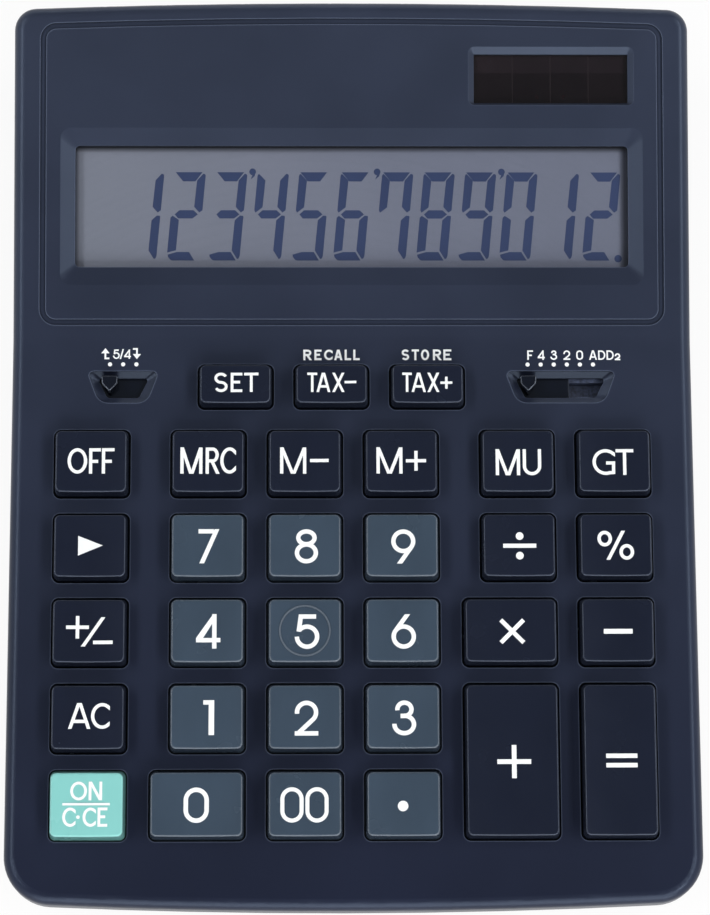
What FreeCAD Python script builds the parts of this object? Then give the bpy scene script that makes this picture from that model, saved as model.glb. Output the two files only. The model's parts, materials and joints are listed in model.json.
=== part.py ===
import FreeCAD, Part
import math
import os
import re

import Sketcher
from FreeCAD import Placement, Rotation, Vector

doc = FreeCAD.newDocument("desktop_calculator")
sheet = doc.addObject("Spreadsheet::Sheet", "sheet")

# Dimensions, in millimetres and degrees. Those at the end follow from the others.
# The keyboard slope and the display slope meet at the crease; "lift" is the height above a slope's face.
SIZES = [
    ("case_width", 153.2),
    ("front_edge", 101.6),
    ("rear_edge", 101.6),
    ("front_bow", 1450),
    ("rear_bow", 1950),
    ("front_corner", 10.5),
    ("rear_corner", 5.0),
    ("crease_y", 25.3),
    ("crease_z", 20.5),
    ("crease_round", 12),
    ("key_tilt", 4.0),
    ("display_tilt", 11.5),
    ("edge_round", 2.6),
    ("shell_wall", 2.2),
    ("parting_z", 8.6),
    ("parting_tilt", 2.0),
    ("base_z", 1.2),
    ("base_wall", 1.8),
    ("base_inset", 0.6),
    ("base_round", 2.2),
    ("key_margin", 18.35),
    ("block_gap", 4.5),
    ("key_space", 5.7),
    ("tax_shift", 6.0),
    ("row_set", -10.9),
    ("row_off", -28.5),
    ("row_pitch", 19.0),
    ("key_deep", 13.7),
    ("key_short", 8.5),
    ("key_extra", 4.2),
    ("key_corner", 1.3),
    ("key_rise", 3.9),
    ("key_side_draft", 0.35),
    ("key_front_draft", 0.65),
    ("key_dish", 0.4),
    ("key_edge", 0.45),
    ("key_gap", 0.35),
    ("flange_lap", 0.95),
    ("flange_thick", 0.8),
    ("flange_gap", 0.1),
    ("key_wall", 1.5),
    ("plunger_radius", 2.0),
    ("dome_top", 3.9),
    ("dome_foot_radius", 4.3),
    ("dome_top_radius", 2.8),
    ("dome_wall", 0.7),
    ("ring_margin", 2.4),
    ("ring_width", 0.35),
    ("ring_rise", 0.15),
    ("sheet_thick", 0.8),
    ("board_top", 7.0),
    ("board_thick", 1.2),
    ("board_gap", 2.0),
    ("board_front", -119.0),
    ("board_rear", 7.0),
    ("groove_inset", 6.7),
    ("groove_front", 4.0),
    ("groove_rear", 72.7),
    ("groove_width", 1.3),
    ("groove_depth", 0.5),
    ("groove_corner", 3.0),
    ("frame_inset", 3.95),
    ("frame_deep", 35.8),
    ("frame_v", 30.35),
    ("frame_side", 3.3),
    ("opening_deep", 27.7),
    ("opening_v", 30.5),
    ("frame_drop", 1.2),
    ("window_lap", 2.0),
    ("window_thick", 1.2),
    ("panel_thick", 2.4),
    ("holder_wall", 1.6),
    ("solar_inset", 1.95),
    ("solar_v", 60.2),
    ("solar_wide", 37.6),
    ("solar_deep", 13.4),
    ("cell_wide", 35.0),
    ("cell_deep", 11.2),
    ("solar_drop", 1.0),
    ("switch_v", -10.85),
    ("switch_step", 0.45),
    ("switch_drop", 1.4),
    ("round_inset", 25.0),
    ("decimal_inset", 29.7),
    ("dot_pitch", 2.95),
    ("slot_rear", 2.8),
    ("slot_front", 0.6),
    ("slot_deep", 2.25),
    ("slot_margin", 2.3),
    ("slider_half", 9.4),
    ("slider_thick", 0.8),
    ("knob_rise", 1.3),
    ("boss_inset", 5.8),
    ("boss_radius", 2.8),
    ("boss_front", -92.0),
    ("boss_mid", 4.0),
    ("boss_rear", 91.0),
    ("screw_radius", 1.3),
    ("screw_head", 2.5),
    ("screw_head_deep", 1.6),
    ("screw_web", 2.4),
    ("screw_grip", 4.0),
    ("screw_gap", 0.05),
    ("foot_radius", 5.0),
    ("foot_inset", 18.6),
    ("foot_y", 84.0),
    ("foot_seat", 0.6),
    ("foot_gap", 0.1),
    ("cap_x", -30.0),
    ("cap_y", 60.0),
    ("cap_radius", 12.0),
    ("cap_thick", 1.7),
    ("cap_gap", 0.15),
    ("well_wall", 1.4),
    ("well_roof", 8.2),
    ("button_radius", 10.0),
    ("button_thick", 3.2),
    ("leaf_thick", 0.3),
    ("wire_radius", 0.5),
    ("wire_bend", 3.0),
    ("wire_turn", 50.0),
    ("board_boss_radius", 2.5),
    ("board_boss_rear", -28.5),
    ("board_boss_front", -115.8),
    ("small_screw", 1.0),
    ("small_head", 1.9),
    ("small_head_deep", 1.0),
    ("ear_inset", 6.3),
    ("ear_v", 10.0),
    ("ear_lift", 5.7),
    ("ear_thick", 1.5),
    ("lug_reach", 1.0),
    ("lug_thick", 0.7),
    ("lug_room", 0.2),
    ("coin_half", 6.5),
    ("coin_deep", 0.8),
    ("contact_half", 2.5),
    ("minus_y", 7.6),
    ("minus_half", 1.8),
    ("chip_x", 2.0),
    ("chip_v", -38.0),
    ("chip_radius", 7.0),
    ("chip_thick", 1.4),
    ("can_inset", 6.0),
    ("can_v", -2.0),
    ("can_radius", 2.5),
    ("can_long", 9.0),
    ("sheet_inset", 1.0),
    ("sheet_front", -111.9),
    ("sheet_rear", -19.6),
    ("tab_lap", 6.75),
    ("tab_reach", 7.25),
    ("tab_rear", -4.5),
    ("col_pitch", "=( case_width / 2 - key_margin - block_gap ) / 2.5"),
    ("key_wide", "=col_pitch - key_space"),
    ("ring_radius", "=key_wide / 2 - ring_margin"),
    ("col_a", "=-2.5 * col_pitch - block_gap"),
    ("col_b", "=-1.5 * col_pitch"),
    ("col_c", "=-0.5 * col_pitch"),
    ("col_d", "=0.5 * col_pitch"),
    ("col_e", "=1.5 * col_pitch + block_gap"),
    ("col_f", "=2.5 * col_pitch + block_gap"),
    ("groove_half", "=case_width / 2 - groove_inset"),
    ("frame_wide", "=2 * groove_half - 2 * frame_inset"),
    ("opening_wide", "=frame_wide - 2 * frame_side"),
    ("solar_x", "=frame_wide / 2 - solar_wide / 2 - solar_inset"),
    ("round_x", "=round_inset - case_width / 2"),
    ("decimal_x", "=case_width / 2 - decimal_inset"),
    ("boss_x", "=case_width / 2 - boss_inset"),
    ("foot_x", "=case_width / 2 - foot_inset"),
    ("ear_x", "=case_width / 2 - ear_inset"),
    ("board_half", "=boss_x - boss_radius - board_gap"),
    ("can_x", "=can_inset - board_half"),
    ("sheet_half", "=board_half - sheet_inset"),
    ("tab_left", "=col_b + tax_shift - tab_lap"),
    ("tab_right", "=col_d + tax_shift + tab_reach"),
]
for line, (alias, value) in enumerate(SIZES, 1):
    sheet.set(f"A{line}", alias)
    sheet.set(f"B{line}", str(value))
    sheet.setAlias(f"B{line}", alias)
doc.recompute()


def size(alias):
    return float(sheet.get(alias))


def cell(expression):
    """Turns plain size names in an expression into references to the sheet."""
    aliases = {alias for alias, _ in SIZES}
    return re.sub(r"[a-z][a-z_]*", lambda word: "sheet." * (word[0] in aliases) + word[0], expression)


def bind(item, **expressions):
    for name, expression in expressions.items():
        item.setExpression(name, cell(expression))


X_AXIS = Vector(1, 0, 0)
Z_AXIS = Vector(0, 0, 1)
CREASE = Vector(0, size("crease_y"), size("crease_z"))
KEYBOARD = Placement(CREASE, Rotation(X_AXIS, size("key_tilt")))
DISPLAY = Placement(CREASE, Rotation(X_AXIS, size("display_tilt")))
LEVEL = Placement()
DEEP = 60.0
START_HEIGHT = 20
START_RADIUS = 15


def origin_plane(body, role):
    return next(plane for plane in body.Origin.OriginFeatures if plane.Role == role)


def new_sketch(body, name, role="XY_Plane", offset=LEVEL):
    """An empty sketch on one of the body's origin planes, moved from it by the offset."""
    sketch = body.newObject("Sketcher::SketchObject", name)
    sketch.AttachmentSupport = [(origin_plane(body, role), "")]
    sketch.MapMode = "FlatFace"
    sketch.AttachmentOffset = offset
    sketch.Visibility = False
    return sketch


def feature(body, kind, name, sketch, **values):
    item = body.newObject("PartDesign::" + kind, name)
    item.Profile = sketch
    for key, setting in values.items():
        setattr(item, key, setting)
    return item


def rounded(corners, radius):
    """Lines and arcs of a closed outline; the radius is one number or one for each corner, 0 if sharp."""
    count = len(corners)
    radii = radius if isinstance(radius, (list, tuple)) else [radius] * count
    starts = []
    ends = []
    edges = []
    for i, corner in enumerate(corners):
        before = (corners[i - 1] - corner).normalize()
        after = (corners[(i + 1) % count] - corner).normalize()
        half = before.getAngle(after) / 2
        reach = radii[i] / math.tan(half)
        starts.append(corner + before * reach)
        ends.append(corner + after * reach)
        if radii[i] > 0:
            middle = corner + (before + after).normalize() * (radii[i] / math.sin(half) - radii[i])
            edges.append((i, Part.Arc(starts[-1], middle, ends[-1])))
        else:
            edges.append((i, None))
    sides = [Part.LineSegment(ends[i], starts[(i + 1) % count]) for i in range(count)]
    return [edge for i, arc in edges for edge in (arc, sides[i]) if edge]


def box_corners(wide, deep, x=0.0, y=0.0):
    return [
        Vector(x - wide / 2, y - deep / 2, 0),
        Vector(x + wide / 2, y - deep / 2, 0),
        Vector(x + wide / 2, y + deep / 2, 0),
        Vector(x - wide / 2, y + deep / 2, 0),
    ]


def draw(sketch, edges):
    sketch.addGeometry(edges, False)


def rectangle(body, name, wide, deep, corner, offset=LEVEL, rise=None):
    """A rounded rectangle about the origin, held by constraints that follow the sheet."""
    sketch = new_sketch(body, name, "XY_Plane", offset)
    if rise:
        sketch.setExpression("AttachmentOffset.Base.z", cell(rise))
    draw(sketch, rounded(box_corners(10, 8), 1))
    for i in range(8):
        sketch.addConstraint(Sketcher.Constraint("Tangent", i, 2, (i + 1) % 8, 1))
    for i, way in ((1, "Horizontal"), (3, "Vertical"), (5, "Horizontal"), (7, "Vertical")):
        sketch.addConstraint(Sketcher.Constraint(way, i))
    for i in (2, 4, 6):
        sketch.addConstraint(Sketcher.Constraint("Equal", 0, i))
    sketch.addConstraint(Sketcher.Constraint("Symmetric", 1, 1, 5, 1, -1, 1))
    held = (
        ("DistanceX", (7, 1, 3, 1), 10, wide),
        ("DistanceY", (1, 1, 5, 1), 8, deep),
        ("Radius", (0,), 1, corner),
    )
    for kind, parts, start, expression in held:
        index = sketch.addConstraint(Sketcher.Constraint(kind, *parts, start))
        sketch.setExpression(f"Constraints[{index}]", cell(expression))
    return sketch


def circle(body, name, radius, rise="0 * key_rise", x="0 * key_rise", role="XY_Plane"):
    """A circle whose radius, centre and height above its plane follow the sheet."""
    sketch = new_sketch(body, name, role)
    sketch.setExpression("AttachmentOffset.Base.z", cell(rise))
    sketch.setExpression("AttachmentOffset.Base.x", cell(x))
    draw(sketch, [Part.Circle(Vector(0, 0, 0), Z_AXIS, 1)])
    sketch.addConstraint(Sketcher.Constraint("Coincident", 0, 3, -1, 1))
    index = sketch.addConstraint(Sketcher.Constraint("Radius", 0, 1))
    sketch.setExpression(f"Constraints[{index}]", cell(radius))
    return sketch


def place(item, frame_tilt, x, v, lift="0"):
    """Stands an item on a slope: x across, v up the slope from the crease, lift above its face."""
    item.Placement = Placement(CREASE, Rotation(X_AXIS, size(frame_tilt)))
    tilt = f"{frame_tilt} * 1 deg"
    item.setExpression("Placement.Base.x", cell(x))
    along = f"( {v} ) * cos( {tilt} ) - ( {lift} ) * sin( {tilt} )"
    height = f"( {v} ) * sin( {tilt} ) + ( {lift} ) * cos( {tilt} )"
    item.setExpression("Placement.Base.y", cell(f"crease_y + {along}"))
    item.setExpression("Placement.Base.z", cell(f"crease_z + {height}"))
    item.setExpression("Placement.Rotation.Angle", cell(tilt))


def edges_of(shape, pieces):
    """Names of the shape's edges that some of its faces or wires have."""
    names = []
    for i, edge in enumerate(shape.Edges, 1):
        if any(edge.isSame(other) for piece in pieces for other in piece.Edges):
            names.append(f"Edge{i}")
    return names


# The 31 keys: name, column centre, row centre, width and depth of the top, tactile ring.
ROW_7 = "row_off - row_pitch"
ROW_4 = "row_off - 2 * row_pitch"
ROW_1 = "row_off - 3 * row_pitch"
ROW_0 = "row_off - 4 * row_pitch"
TALL_ROW = "row_off - 3.5 * row_pitch"
WIDE = "key_wide + key_extra"
WIDE_B = "col_b - key_extra / 2"
WIDE_E = "col_e - key_extra / 2"
TALL = "key_deep + row_pitch"
KEYS = [
    ("key_set", "col_b + tax_shift", "row_set", "key_wide", "key_short", False),
    ("key_tax_minus", "col_c + tax_shift", "row_set", "key_wide", "key_short", False),
    ("key_tax_plus", "col_d + tax_shift", "row_set", "key_wide", "key_short", False),
    ("key_off", "col_a", "row_off", "key_wide", "key_deep", False),
    ("key_mrc", "col_b", "row_off", "key_wide", "key_deep", False),
    ("key_m_minus", "col_c", "row_off", "key_wide", "key_deep", False),
    ("key_m_plus", "col_d", "row_off", "key_wide", "key_deep", False),
    ("key_mu", "col_e", "row_off", "key_wide", "key_deep", False),
    ("key_gt", "col_f", "row_off", "key_wide", "key_deep", False),
    ("key_shift", "col_a", ROW_7, "key_wide", "key_deep", False),
    ("key_7", "col_b", ROW_7, "key_wide", "key_deep", False),
    ("key_8", "col_c", ROW_7, "key_wide", "key_deep", False),
    ("key_9", "col_d", ROW_7, "key_wide", "key_deep", False),
    ("key_divide", "col_e", ROW_7, "key_wide", "key_deep", False),
    ("key_percent", "col_f", ROW_7, "key_wide", "key_deep", False),
    ("key_sign", "col_a", ROW_4, "key_wide", "key_deep", False),
    ("key_4", "col_b", ROW_4, "key_wide", "key_deep", False),
    ("key_5", "col_c", ROW_4, "key_wide", "key_deep", True),
    ("key_6", "col_d", ROW_4, "key_wide", "key_deep", False),
    ("key_multiply", WIDE_E, ROW_4, WIDE, "key_deep", False),
    ("key_minus", "col_f", ROW_4, "key_wide", "key_deep", False),
    ("key_ac", "col_a", ROW_1, "key_wide", "key_deep", False),
    ("key_1", "col_b", ROW_1, "key_wide", "key_deep", False),
    ("key_2", "col_c", ROW_1, "key_wide", "key_deep", False),
    ("key_3", "col_d", ROW_1, "key_wide", "key_deep", False),
    ("key_plus", WIDE_E, TALL_ROW, WIDE, TALL, False),
    ("key_equals", "col_f", TALL_ROW, "key_wide", TALL, False),
    ("key_on", "col_a", ROW_0, "key_wide", "key_deep", False),
    ("key_0", WIDE_B, ROW_0, WIDE, "key_deep", False),
    ("key_00", "col_c", ROW_0, "key_wide", "key_deep", False),
    ("key_point", "col_d", ROW_0, "key_wide", "key_deep", False),
]


def dish(body, name, wide, lifted):
    """Cuts the hollow top of a key along its depth, as the inside of a wide cylinder."""
    bow = f"( ( {wide} ) * ( {wide} ) / ( 8 * key_dish ) + key_dish / 2 )"
    sketch = new_sketch(body, name + "_round", "XZ_Plane")
    draw(sketch, [Part.Circle(Vector(0, START_HEIGHT, 0), Z_AXIS, START_RADIUS)])
    sketch.addConstraint(Sketcher.Constraint("PointOnObject", 0, 3, -2))
    radius = sketch.addConstraint(Sketcher.Constraint("Radius", 0, START_RADIUS))
    height = sketch.addConstraint(Sketcher.Constraint("DistanceY", -1, 1, 0, 3, START_HEIGHT))
    sketch.setExpression(f"Constraints[{radius}]", cell(bow))
    sketch.setExpression(f"Constraints[{height}]", cell(f"key_rise - key_dish + {lifted} + {bow}"))
    return feature(body, "Pocket", name, sketch, Length=DEEP, Midplane=True)


def pad(body, name, sketch, length, reverse=False):
    item = feature(body, "Pad", name, sketch, Reversed=reverse)
    bind(item, Length=length)
    return item


def pocket(body, name, sketch, length, reverse=False):
    item = feature(body, "Pocket", name, sketch, Reversed=reverse)
    bind(item, Length=length)
    return item


def keycap(label, x, v, wide, deep, ring):
    """A hollow key: drafted cap with a dished top, skirt, flange that holds it in, and plunger."""
    body = doc.addObject("PartDesign::Body", label)
    foot_wide = f"{wide} + 2 * key_side_draft"
    foot_deep = f"{deep} + 2 * key_front_draft"
    foot = rectangle(body, label + "_foot", foot_wide, foot_deep, "key_corner")
    top = rectangle(body, label + "_top", wide, deep, "key_corner", rise="key_rise")
    feature(body, "AdditiveLoft", label + "_cap", foot, Sections=[top])
    if ring:
        dish(body, label + "_dish", wide, "0")
        ring_top = new_sketch(body, label + "_ring_outline")
        ring_top.setExpression("AttachmentOffset.Base.z", cell("key_rise - 2 * key_dish"))
        half = size("ring_width") / 2
        radius = size("ring_radius")
        draw(ring_top, [Part.Circle(Vector(), Z_AXIS, r) for r in (radius + half, radius - half)])
        pad(body, label + "_ring", ring_top, "2 * key_dish")
        dish(body, label + "_ring_dish", wide, "ring_rise")
    else:
        dish(body, label + "_dish", wide, "0")
    doc.recompute()
    shape = body.Tip.Shape
    broad = max((face for face in shape.Faces if isinstance(face.Surface, Part.Cylinder)), key=lambda f: f.Area)
    rim = max(broad.Wires, key=lambda wire: wire.BoundBox.DiagonalLength)
    cap = body.Tip
    edge = body.newObject("PartDesign::Fillet", label + "_edge")
    edge.Base = (cap, edges_of(shape, [rim]))
    bind(edge, Radius="key_edge")
    skirt_end = "shell_wall + flange_gap + flange_thick"
    pad(body, label + "_skirt", foot, skirt_end, reverse=True)
    flange_wide = f"{foot_wide} + 2 * flange_lap"
    flange_deep = f"{foot_deep} + 2 * flange_lap"
    low = f"0 - ( {skirt_end} )"
    flange_corner = "key_corner + flange_lap"
    flange = rectangle(body, label + "_flange_outline", flange_wide, flange_deep, flange_corner, rise=low)
    pad(body, label + "_flange", flange, "flange_thick")
    hollow = rectangle(
        body,
        label + "_hollow_outline",
        f"{wide} - 2 * key_wall",
        f"{deep} - 2 * key_wall",
        "key_corner / 2",
        rise=low,
    )
    pocket(body, label + "_hollow", hollow, f"{skirt_end} + key_rise - key_dish - key_wall", reverse=True)
    plunger = circle(body, label + "_plunger_outline", "plunger_radius", rise="0 - dome_top")
    pad(body, label + "_plunger", plunger, "dome_top + key_rise - key_dish - key_wall / 2")
    place(body, "key_tilt", x, v)
    return body


def corner_arc(hub, bow, side, radius, rear):
    """Where a corner meets the side and the bowed end, and the arc between them."""
    reach = math.sqrt((bow - radius) ** 2 - (abs(side) - radius) ** 2)
    centre = Vector(math.copysign(abs(side) - radius, side), hub + reach if rear else hub - reach, 0)
    on_side = Vector(side, centre.y, 0)
    out = (centre - Vector(0, hub, 0)).normalize()
    on_bow = centre + out * radius
    half_way = ((on_side - centre).normalize() + out).normalize()
    return on_side, on_bow, centre + half_way * radius


def bowed_outline(half, front, rear, front_bow, rear_bow, front_corner, rear_corner):
    """A closed outline with straight sides, bowed ends and round corners."""
    hub_front = front + front_bow
    hub_rear = rear - rear_bow
    right_front = corner_arc(hub_front, front_bow, half, front_corner, False)
    left_front = corner_arc(hub_front, front_bow, -half, front_corner, False)
    right_rear = corner_arc(hub_rear, rear_bow, half, rear_corner, True)
    left_rear = corner_arc(hub_rear, rear_bow, -half, rear_corner, True)
    return [
        Part.Arc(left_front[1], Vector(0, front, 0), right_front[1]),
        Part.Arc(right_front[1], right_front[2], right_front[0]),
        Part.LineSegment(right_front[0], right_rear[0]),
        Part.Arc(right_rear[0], right_rear[2], right_rear[1]),
        Part.Arc(right_rear[1], Vector(0, rear, 0), left_rear[1]),
        Part.Arc(left_rear[1], left_rear[2], left_rear[0]),
        Part.LineSegment(left_rear[0], left_front[0]),
        Part.Arc(left_front[0], left_front[2], left_front[1]),
    ]


def case_outline(inset):
    return bowed_outline(
        size("case_width") / 2 - inset,
        inset - size("front_edge"),
        size("rear_edge") - inset,
        size("front_bow") - inset,
        size("rear_bow") - inset,
        size("front_corner") - inset,
        size("rear_corner") - inset,
    )


FAR = 130.0


def parting_height(y):
    return size("parting_z") + y * math.tan(math.radians(size("parting_tilt")))


def case_body(name, inset, bottom, drop, edge_round):
    """The case's bowed outline under its two slopes, dropped by a wall's thickness for the hollow."""
    body = doc.addObject("PartDesign::Body", name)
    outline = new_sketch(body, name + "_outline", "XY_Plane", Placement(Vector(0, 0, bottom), Rotation()))
    draw(outline, case_outline(inset))
    feature(body, "Pad", name + "_block", outline, Length=DEEP)
    middle = math.radians((size("key_tilt") + size("display_tilt")) / 2)
    half_bend = math.radians((size("display_tilt") - size("key_tilt")) / 2)
    fall = drop / math.cos(half_bend)
    crease = Vector(size("crease_y") + fall * math.sin(middle), size("crease_z") - fall * math.cos(middle), 0)
    low = math.tan(math.radians(size("key_tilt")))
    steep = math.tan(math.radians(size("display_tilt")))
    above = [
        Vector(-FAR, crease.y - (FAR + crease.x) * low, 0),
        crease,
        Vector(FAR, crease.y + (FAR - crease.x) * steep, 0),
        Vector(FAR, FAR, 0),
        Vector(-FAR, FAR, 0),
    ]
    slopes = new_sketch(body, name + "_slopes", "YZ_Plane")
    draw(slopes, rounded(above, [0, size("crease_round") + drop, 0, 0, 0]))
    feature(body, "Pocket", name + "_top", slopes, Length=4 * DEEP, Midplane=True)
    doc.recompute()
    if edge_round:
        shape = body.Tip.Shape
        tops = [face for face in shape.Faces if face.normalAt(*middle_of(face)).z > 0.9]
        joins = [edge for top in tops for edge in top.Edges]
        rim = [f"Edge{i}" for i, e in enumerate(shape.Edges, 1) if sum(e.isSame(o) for o in joins) == 1]
        cut = body.Tip
        fillet = body.newObject("PartDesign::Fillet", name + "_edge")
        fillet.Base = (cut, rim)
        bind(fillet, Radius=edge_round)
    return body


def middle_of(face):
    low_u, high_u, low_v, high_v = face.ParameterRange
    return (low_u + high_u) / 2, (low_v + high_v) / 2


def parting_cut(body, name, below):
    """Takes off what lies below, or above, the plane where the two shells meet."""
    end = -FAR if below else FAR
    corners = [
        Vector(-FAR, parting_height(-FAR), 0),
        Vector(FAR, parting_height(FAR), 0),
        Vector(FAR, end, 0),
        Vector(-FAR, end, 0),
    ]
    sketch = new_sketch(body, name, "YZ_Plane")
    draw(sketch, rounded(corners, 0))
    feature(body, "Pocket", name + "_cut", sketch, Length=4 * DEEP, Midplane=True)


def on_slope(slope, lift=0.0, v=0.0):
    """The placement of a sketch that lies on a slope at some lift."""
    return slope.multiply(Placement(Vector(0, v, lift), Rotation()))


def trapezoid(centre, rear_half, front_half, rear, front):
    return [
        Vector(centre - front_half, front, 0),
        Vector(centre + front_half, front, 0),
        Vector(centre + rear_half, rear, 0),
        Vector(centre - rear_half, rear, 0),
    ]


def number(expression):
    """What an expression of size names comes to, through a cell of the sheet itself."""
    sheet.set("D1", "=" + expression)
    sheet.recompute()
    return float(sheet.get("D1"))


def sunk(body, name, slope, outer, inner, drop, radii, start=0.0):
    """A recess with sloping sides, from one outline at the start level to a smaller one below it."""
    mouth = new_sketch(body, name + "_mouth", "XY_Plane", on_slope(slope, -start))
    draw(mouth, rounded(outer, radii[0]))
    floor = new_sketch(body, name + "_floor", "XY_Plane", on_slope(slope, -drop))
    draw(floor, rounded(inner, radii[1]))
    feature(body, "SubtractiveLoft", name, mouth, Sections=[floor])


def through(body, name, slope, outlines, lift, depth):
    """Openings cut from a level of a slope down to a depth below it."""
    sketch = new_sketch(body, name + "_outline", "XY_Plane", on_slope(slope, lift))
    for edges in outlines:
        draw(sketch, edges)
    feature(body, "Pocket", name, sketch, Length=depth)


def slot_corners(centre, steps, grow):
    """A switch slot over its knob's places; it narrows to the front, where its recess grows less."""
    half = steps * size("dot_pitch") / 2
    rear_half = half + size("slot_rear") + grow
    front_half = half + size("slot_front") + 0.8 * grow
    deep = size("slot_deep") + 0.6 * grow
    return trapezoid(centre, rear_half, front_half, size("switch_v") + deep, size("switch_v") - deep)


KEY_HOLES = [
    rounded(
        box_corners(
            number(f"{wide} + 2 * key_side_draft + 2 * key_gap"),
            number(f"{deep} + 2 * key_front_draft + 2 * key_gap"),
            number(x),
            number(v),
        ),
        number("key_corner + key_gap"),
    )
    for _, x, v, wide, deep, _ in KEYS
]
SWITCHES = (("round", size("round_x"), 2), ("decimal", size("decimal_x"), 5))

outer = case_body("outer_case", 0.0, 0.0, 0.0, "edge_round")
parting_cut(outer, "outer_parting", True)
through(outer, "key_openings", KEYBOARD, KEY_HOLES, 1.0, 1.0 + size("shell_wall") + 1.5)
MOUTH_RADII = [3.2, 3.2, 1.0, 1.0]
SLOT_RADII = [0.9, 0.9, 0.6, 0.6]
for switch, centre, steps in SWITCHES:
    mouth = slot_corners(centre, steps, size("slot_margin"))
    slot = slot_corners(centre, steps, 0.0)
    through(outer, switch + "_step", KEYBOARD, [rounded(mouth, MOUTH_RADII)], 0.0, size("switch_step"))
    sunk(
        outer,
        switch + "_recess",
        KEYBOARD,
        mouth,
        slot,
        size("switch_drop"),
        (MOUTH_RADII, SLOT_RADII),
        size("switch_step"),
    )
    slot = rounded(slot, SLOT_RADII)
    through(outer, switch + "_slot", KEYBOARD, [slot], -size("switch_drop"), size("shell_wall"))
groove_bow = size("rear_bow")
grooves = [
    bowed_outline(
        size("groove_half") + side,
        size("groove_front") - side,
        size("groove_rear") + side,
        40 * groove_bow,
        groove_bow,
        size("groove_corner") + side,
        size("groove_corner") + side,
    )
    for side in (size("groove_width") / 2, -size("groove_width") / 2)
]
through(outer, "display_groove", DISPLAY, grooves, 0.0, size("groove_depth"))
sunk(
    outer,
    "display_frame",
    DISPLAY,
    box_corners(size("frame_wide"), size("frame_deep"), 0, size("frame_v")),
    box_corners(size("opening_wide"), size("opening_deep"), 0, size("opening_v")),
    size("frame_drop"),
    (2.5, 1.0),
)
window = rounded(box_corners(size("opening_wide"), size("opening_deep"), 0, size("opening_v")), 1.0)
through(outer, "display_opening", DISPLAY, [window], -size("frame_drop"), size("shell_wall"))
solar_v = size("solar_v") - 0.5
sunk(
    outer,
    "solar_frame",
    DISPLAY,
    box_corners(size("solar_wide"), size("solar_deep"), size("solar_x"), size("solar_v")),
    box_corners(size("cell_wide"), size("cell_deep"), size("solar_x"), solar_v),
    size("solar_drop"),
    (1.4, 0.2),
)
solar_hole = rounded(box_corners(size("cell_wide"), size("cell_deep"), size("solar_x"), solar_v), 0.2)
through(outer, "solar_opening", DISPLAY, [solar_hole], -size("solar_drop"), size("shell_wall"))
doc.recompute()


def cylinder(name, radius, height, base=LEVEL):
    item = doc.addObject("Part::Cylinder", name)
    item.Placement = base
    bind(item, Radius=radius)
    if isinstance(height, str):
        bind(item, Height=height)
    else:
        item.Height = height
    return item


def block(name, low, high, base=LEVEL):
    """A box between two corners, seen from the base placement."""
    item = doc.addObject("Part::Box", name)
    item.Length, item.Width, item.Height = (high[i] - low[i] for i in range(3))
    item.Placement = base.multiply(Placement(Vector(*low), Rotation()))
    return item


def fused(name, items):
    item = doc.addObject("Part::MultiFuse", name)
    item.Shapes = items
    return item


def cut(name, base, tools):
    """The base without the tools; one tool is taken as it is, more are joined first."""
    item = doc.addObject("Part::Cut", name)
    item.Base = base
    item.Tool = tools[0] if len(tools) == 1 else fused(name + "_tools", tools)
    return item


def at(x, y, z, base=LEVEL):
    return base.multiply(Placement(Vector(x, y, z), Rotation()))


BOSS_ROWS = [size("boss_front"), size("boss_mid"), size("boss_rear")]
CASE_SCREWS = [(side * size("boss_x"), y) for side in (-1, 1) for y in BOSS_ROWS]
LEFT_GAP = number("( col_a + col_b ) / 2")
RIGHT_GAP = number("( col_d + col_e ) / 2")
BOARD_SCREWS = [
    (LEFT_GAP, size("board_boss_rear")),
    (RIGHT_GAP, size("board_boss_rear")),
    (LEFT_GAP, size("board_boss_front")),
    (0.0, size("board_boss_front")),
    (-LEFT_GAP, size("board_boss_front")),
]
EAR_ROWS = [size("opening_v") - size("ear_v"), size("opening_v") + size("ear_v")]
EARS = [(side * size("ear_x"), v) for side in (-1, 1) for v in EAR_ROWS]

# Upper shell: its hollow leaves columns for the screws.
hollow = case_body("upper_hollow", size("shell_wall"), 0.0, size("shell_wall"), "")
columns = [
    cylinder(f"case_boss_{i}", "boss_radius", "15 * shell_wall", at(x, y, 0))
    for i, (x, y) in enumerate(CASE_SCREWS)
]
columns += [
    cylinder(f"board_boss_{i}", "board_boss_radius", "board_top", at(x, v, -size("board_top"), KEYBOARD))
    for i, (x, v) in enumerate(BOARD_SCREWS)
]
columns += [
    cylinder(f"ear_boss_{i}", "board_boss_radius", "ear_lift", at(x, v, -size("ear_lift"), DISPLAY))
    for i, (x, v) in enumerate(EARS)
]
upper_void = cut("upper_void", hollow, columns)
SMALL_PILOT = ("small_screw + screw_gap", "screw_grip + 4 * screw_gap")
SMALL_HOLE = "small_screw + 3 * screw_gap"
pilots = [
    cylinder(f"case_pilot_{i}", "screw_radius + screw_gap", "screw_grip + 10 * screw_gap", at(x, y, height))
    for i, (x, y) in enumerate(CASE_SCREWS)
    for height in [parting_height(y) - 4 * size("screw_gap")]
]
pilots += [
    cylinder(f"board_pilot_{i}", *SMALL_PILOT, at(x, v, -size("board_top"), KEYBOARD))
    for i, (x, v) in enumerate(BOARD_SCREWS)
]
pilots += [
    cylinder(f"ear_pilot_{i}", *SMALL_PILOT, at(x, v, -size("ear_lift"), DISPLAY))
    for i, (x, v) in enumerate(EARS)
]
upper_housing = cut("upper_housing", outer, [upper_void] + pilots)

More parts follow.
